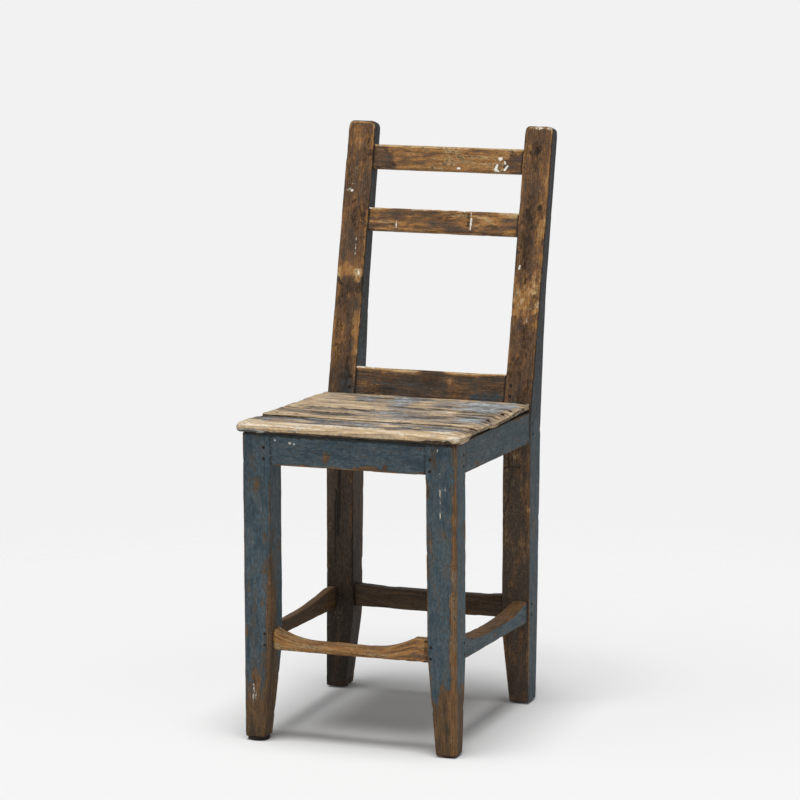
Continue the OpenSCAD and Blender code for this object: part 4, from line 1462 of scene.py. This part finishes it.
class CHAIR_OT_stage(bpy.types.Operator):
    """Make the camera, the lamps, the backdrop and the floor"""
    bl_idname = "chair.stage"
    bl_label = "Stage"

    def execute(self, context):
        stage = context.scene.chair_stage
        context.scene.view_settings.view_transform = "Standard"
        self.camera(context, stage)
        self.lamps(context, stage)
        self.backdrop(context, stage)
        self.floor(context, stage)
        return {"FINISHED"}

    def camera(self, context, stage):
        a, e, r = stage.azimuth, stage.elevation, stage.roll
        back = Vector((math.sin(a) * math.cos(e), -math.cos(a) * math.cos(e), math.sin(e)))
        right = Vector((math.cos(a), math.sin(a), 0))
        up = back.cross(right)
        turned = math.cos(r) * right + math.sin(r) * up
        up = math.cos(r) * up - math.sin(r) * right
        data = bpy.data.cameras.new("camera")
        data.lens, data.sensor_width = stage.lens, 36.0
        data.clip_end = 100
        camera = bpy.data.objects.new("camera", data)
        matrix = Matrix((turned, up, back)).transposed().to_4x4()
        matrix.translation = Vector(stage.target) + back * stage.distance
        camera.matrix_world = matrix
        context.scene.collection.objects.link(camera)
        context.scene.camera = camera

    def lamps(self, context, stage):
        for name, strength, spread, source in (
                ("key", stage.key_strength, 30, (0.0, -0.12, 1.0)),
                ("left_fill", stage.left_strength, 100, (-1.0, -1.6, 0.22)),
                ("right_fill", stage.right_strength, 100, (1.6, -1.2, 0.22))):
            data = bpy.data.lights.new(name, "SUN")
            data.energy, data.angle = strength, math.radians(spread)
            lamp = bpy.data.objects.new(name, data)
            lamp.rotation_euler = (-Vector(source)).to_track_quat("-Z", "Y").to_euler()
            context.scene.collection.objects.link(lamp)

    def backdrop(self, context, stage):
        world = bpy.data.worlds.new("backdrop")
        context.scene.world = world
        world.use_nodes = True
        sky = Tree(world.node_tree)
        direct, glossy = (sky.node("ShaderNodeLightPath", output="Is %s Ray" % kind)
                          for kind in ("Camera", "Glossy"))
        around = sky.node("ShaderNodeBackground", {}, {
            "Color": (1, 1, 1, 1), "Strength": stage.ambient})
        behind = sky.node("ShaderNodeBackground", {}, {"Color": (*stage.backdrop_colour, 1)})
        sky.node("ShaderNodeOutputWorld", {}, {"Surface": sky.node("ShaderNodeMixShader", {}, {
            0: direct.at_least(glossy), 1: around, 2: behind})})

    def floor(self, context, stage):
        f = Finish("floor")
        place = f.node("ShaderNodeTexCoord", output="Object")
        away = f.vector("LENGTH", place, output="Value")
        shader = f.node("ShaderNodeBsdfDiffuse", {}, {"Color": (*stage.floor_colour, 1)})
        clear = f.node("ShaderNodeBsdfTransparent")
        mixed = f.node("ShaderNodeMixShader", {}, {0: away.step(0.7, 1.6), 1: shader, 2: clear})
        mesh = bpy.data.meshes.new("floor")
        corners = [(-2, -2, 0), (2, -2, 0), (2, 2, 0), (-2, 2, 0)]
        mesh.from_pydata(corners, [], [(0, 1, 2, 3)])
        mesh.materials.append(f.end(mixed))
        floor = bpy.data.objects.new("floor", mesh)
        context.scene.collection.objects.link(floor)


class CHAIR_PT_panel(bpy.types.Panel):
    """Lists what the chair is made of"""
    bl_idname = "CHAIR_PT_panel"
    bl_label = "Worn pine chair"
    bl_space_type = "VIEW_3D"
    bl_region_type = "UI"
    bl_category = "Chair"

    def draw(self, context):
        for group in (getattr(context.scene, name) for name in GROUPS):
            for name in group.__annotations__:
                self.layout.prop(group, name)
        for operator in OPERATORS:
            self.layout.operator(operator.bl_idname)


OPERATORS = (CHAIR_OT_finishes, CHAIR_OT_stage, CHAIR_OT_legs, CHAIR_OT_posts, CHAIR_OT_aprons,
             CHAIR_OT_rails, CHAIR_OT_stretchers, CHAIR_OT_seat, CHAIR_OT_fastenings,
             CHAIR_OT_feet)
GROUPS = {"chair_colours": ChairColours, "chair_wear": ChairWear,
          "chair_fastenings": ChairFastenings,
          "chair_stage": ChairStage}


def register():
    """Adds the chair's settings, operators and panel."""
    for cls in (*GROUPS.values(), *OPERATORS, CHAIR_PT_panel):
        bpy.utils.register_class(cls)
    for name, group in GROUPS.items():
        setattr(bpy.types.Scene, name, PointerProperty(type=group))


def unregister():
    """Takes them away again."""
    for name in GROUPS:
        delattr(bpy.types.Scene, name)
    for cls in (CHAIR_PT_panel, *reversed(OPERATORS), *GROUPS.values()):
        bpy.utils.unregister_class(cls)


def main():
    """Runs every operator."""
    register()
    for operator in OPERATORS:
        group, name = operator.bl_idname.split(".")
        getattr(getattr(bpy.ops, group), name)()


if __name__ == "__main__":
    main()
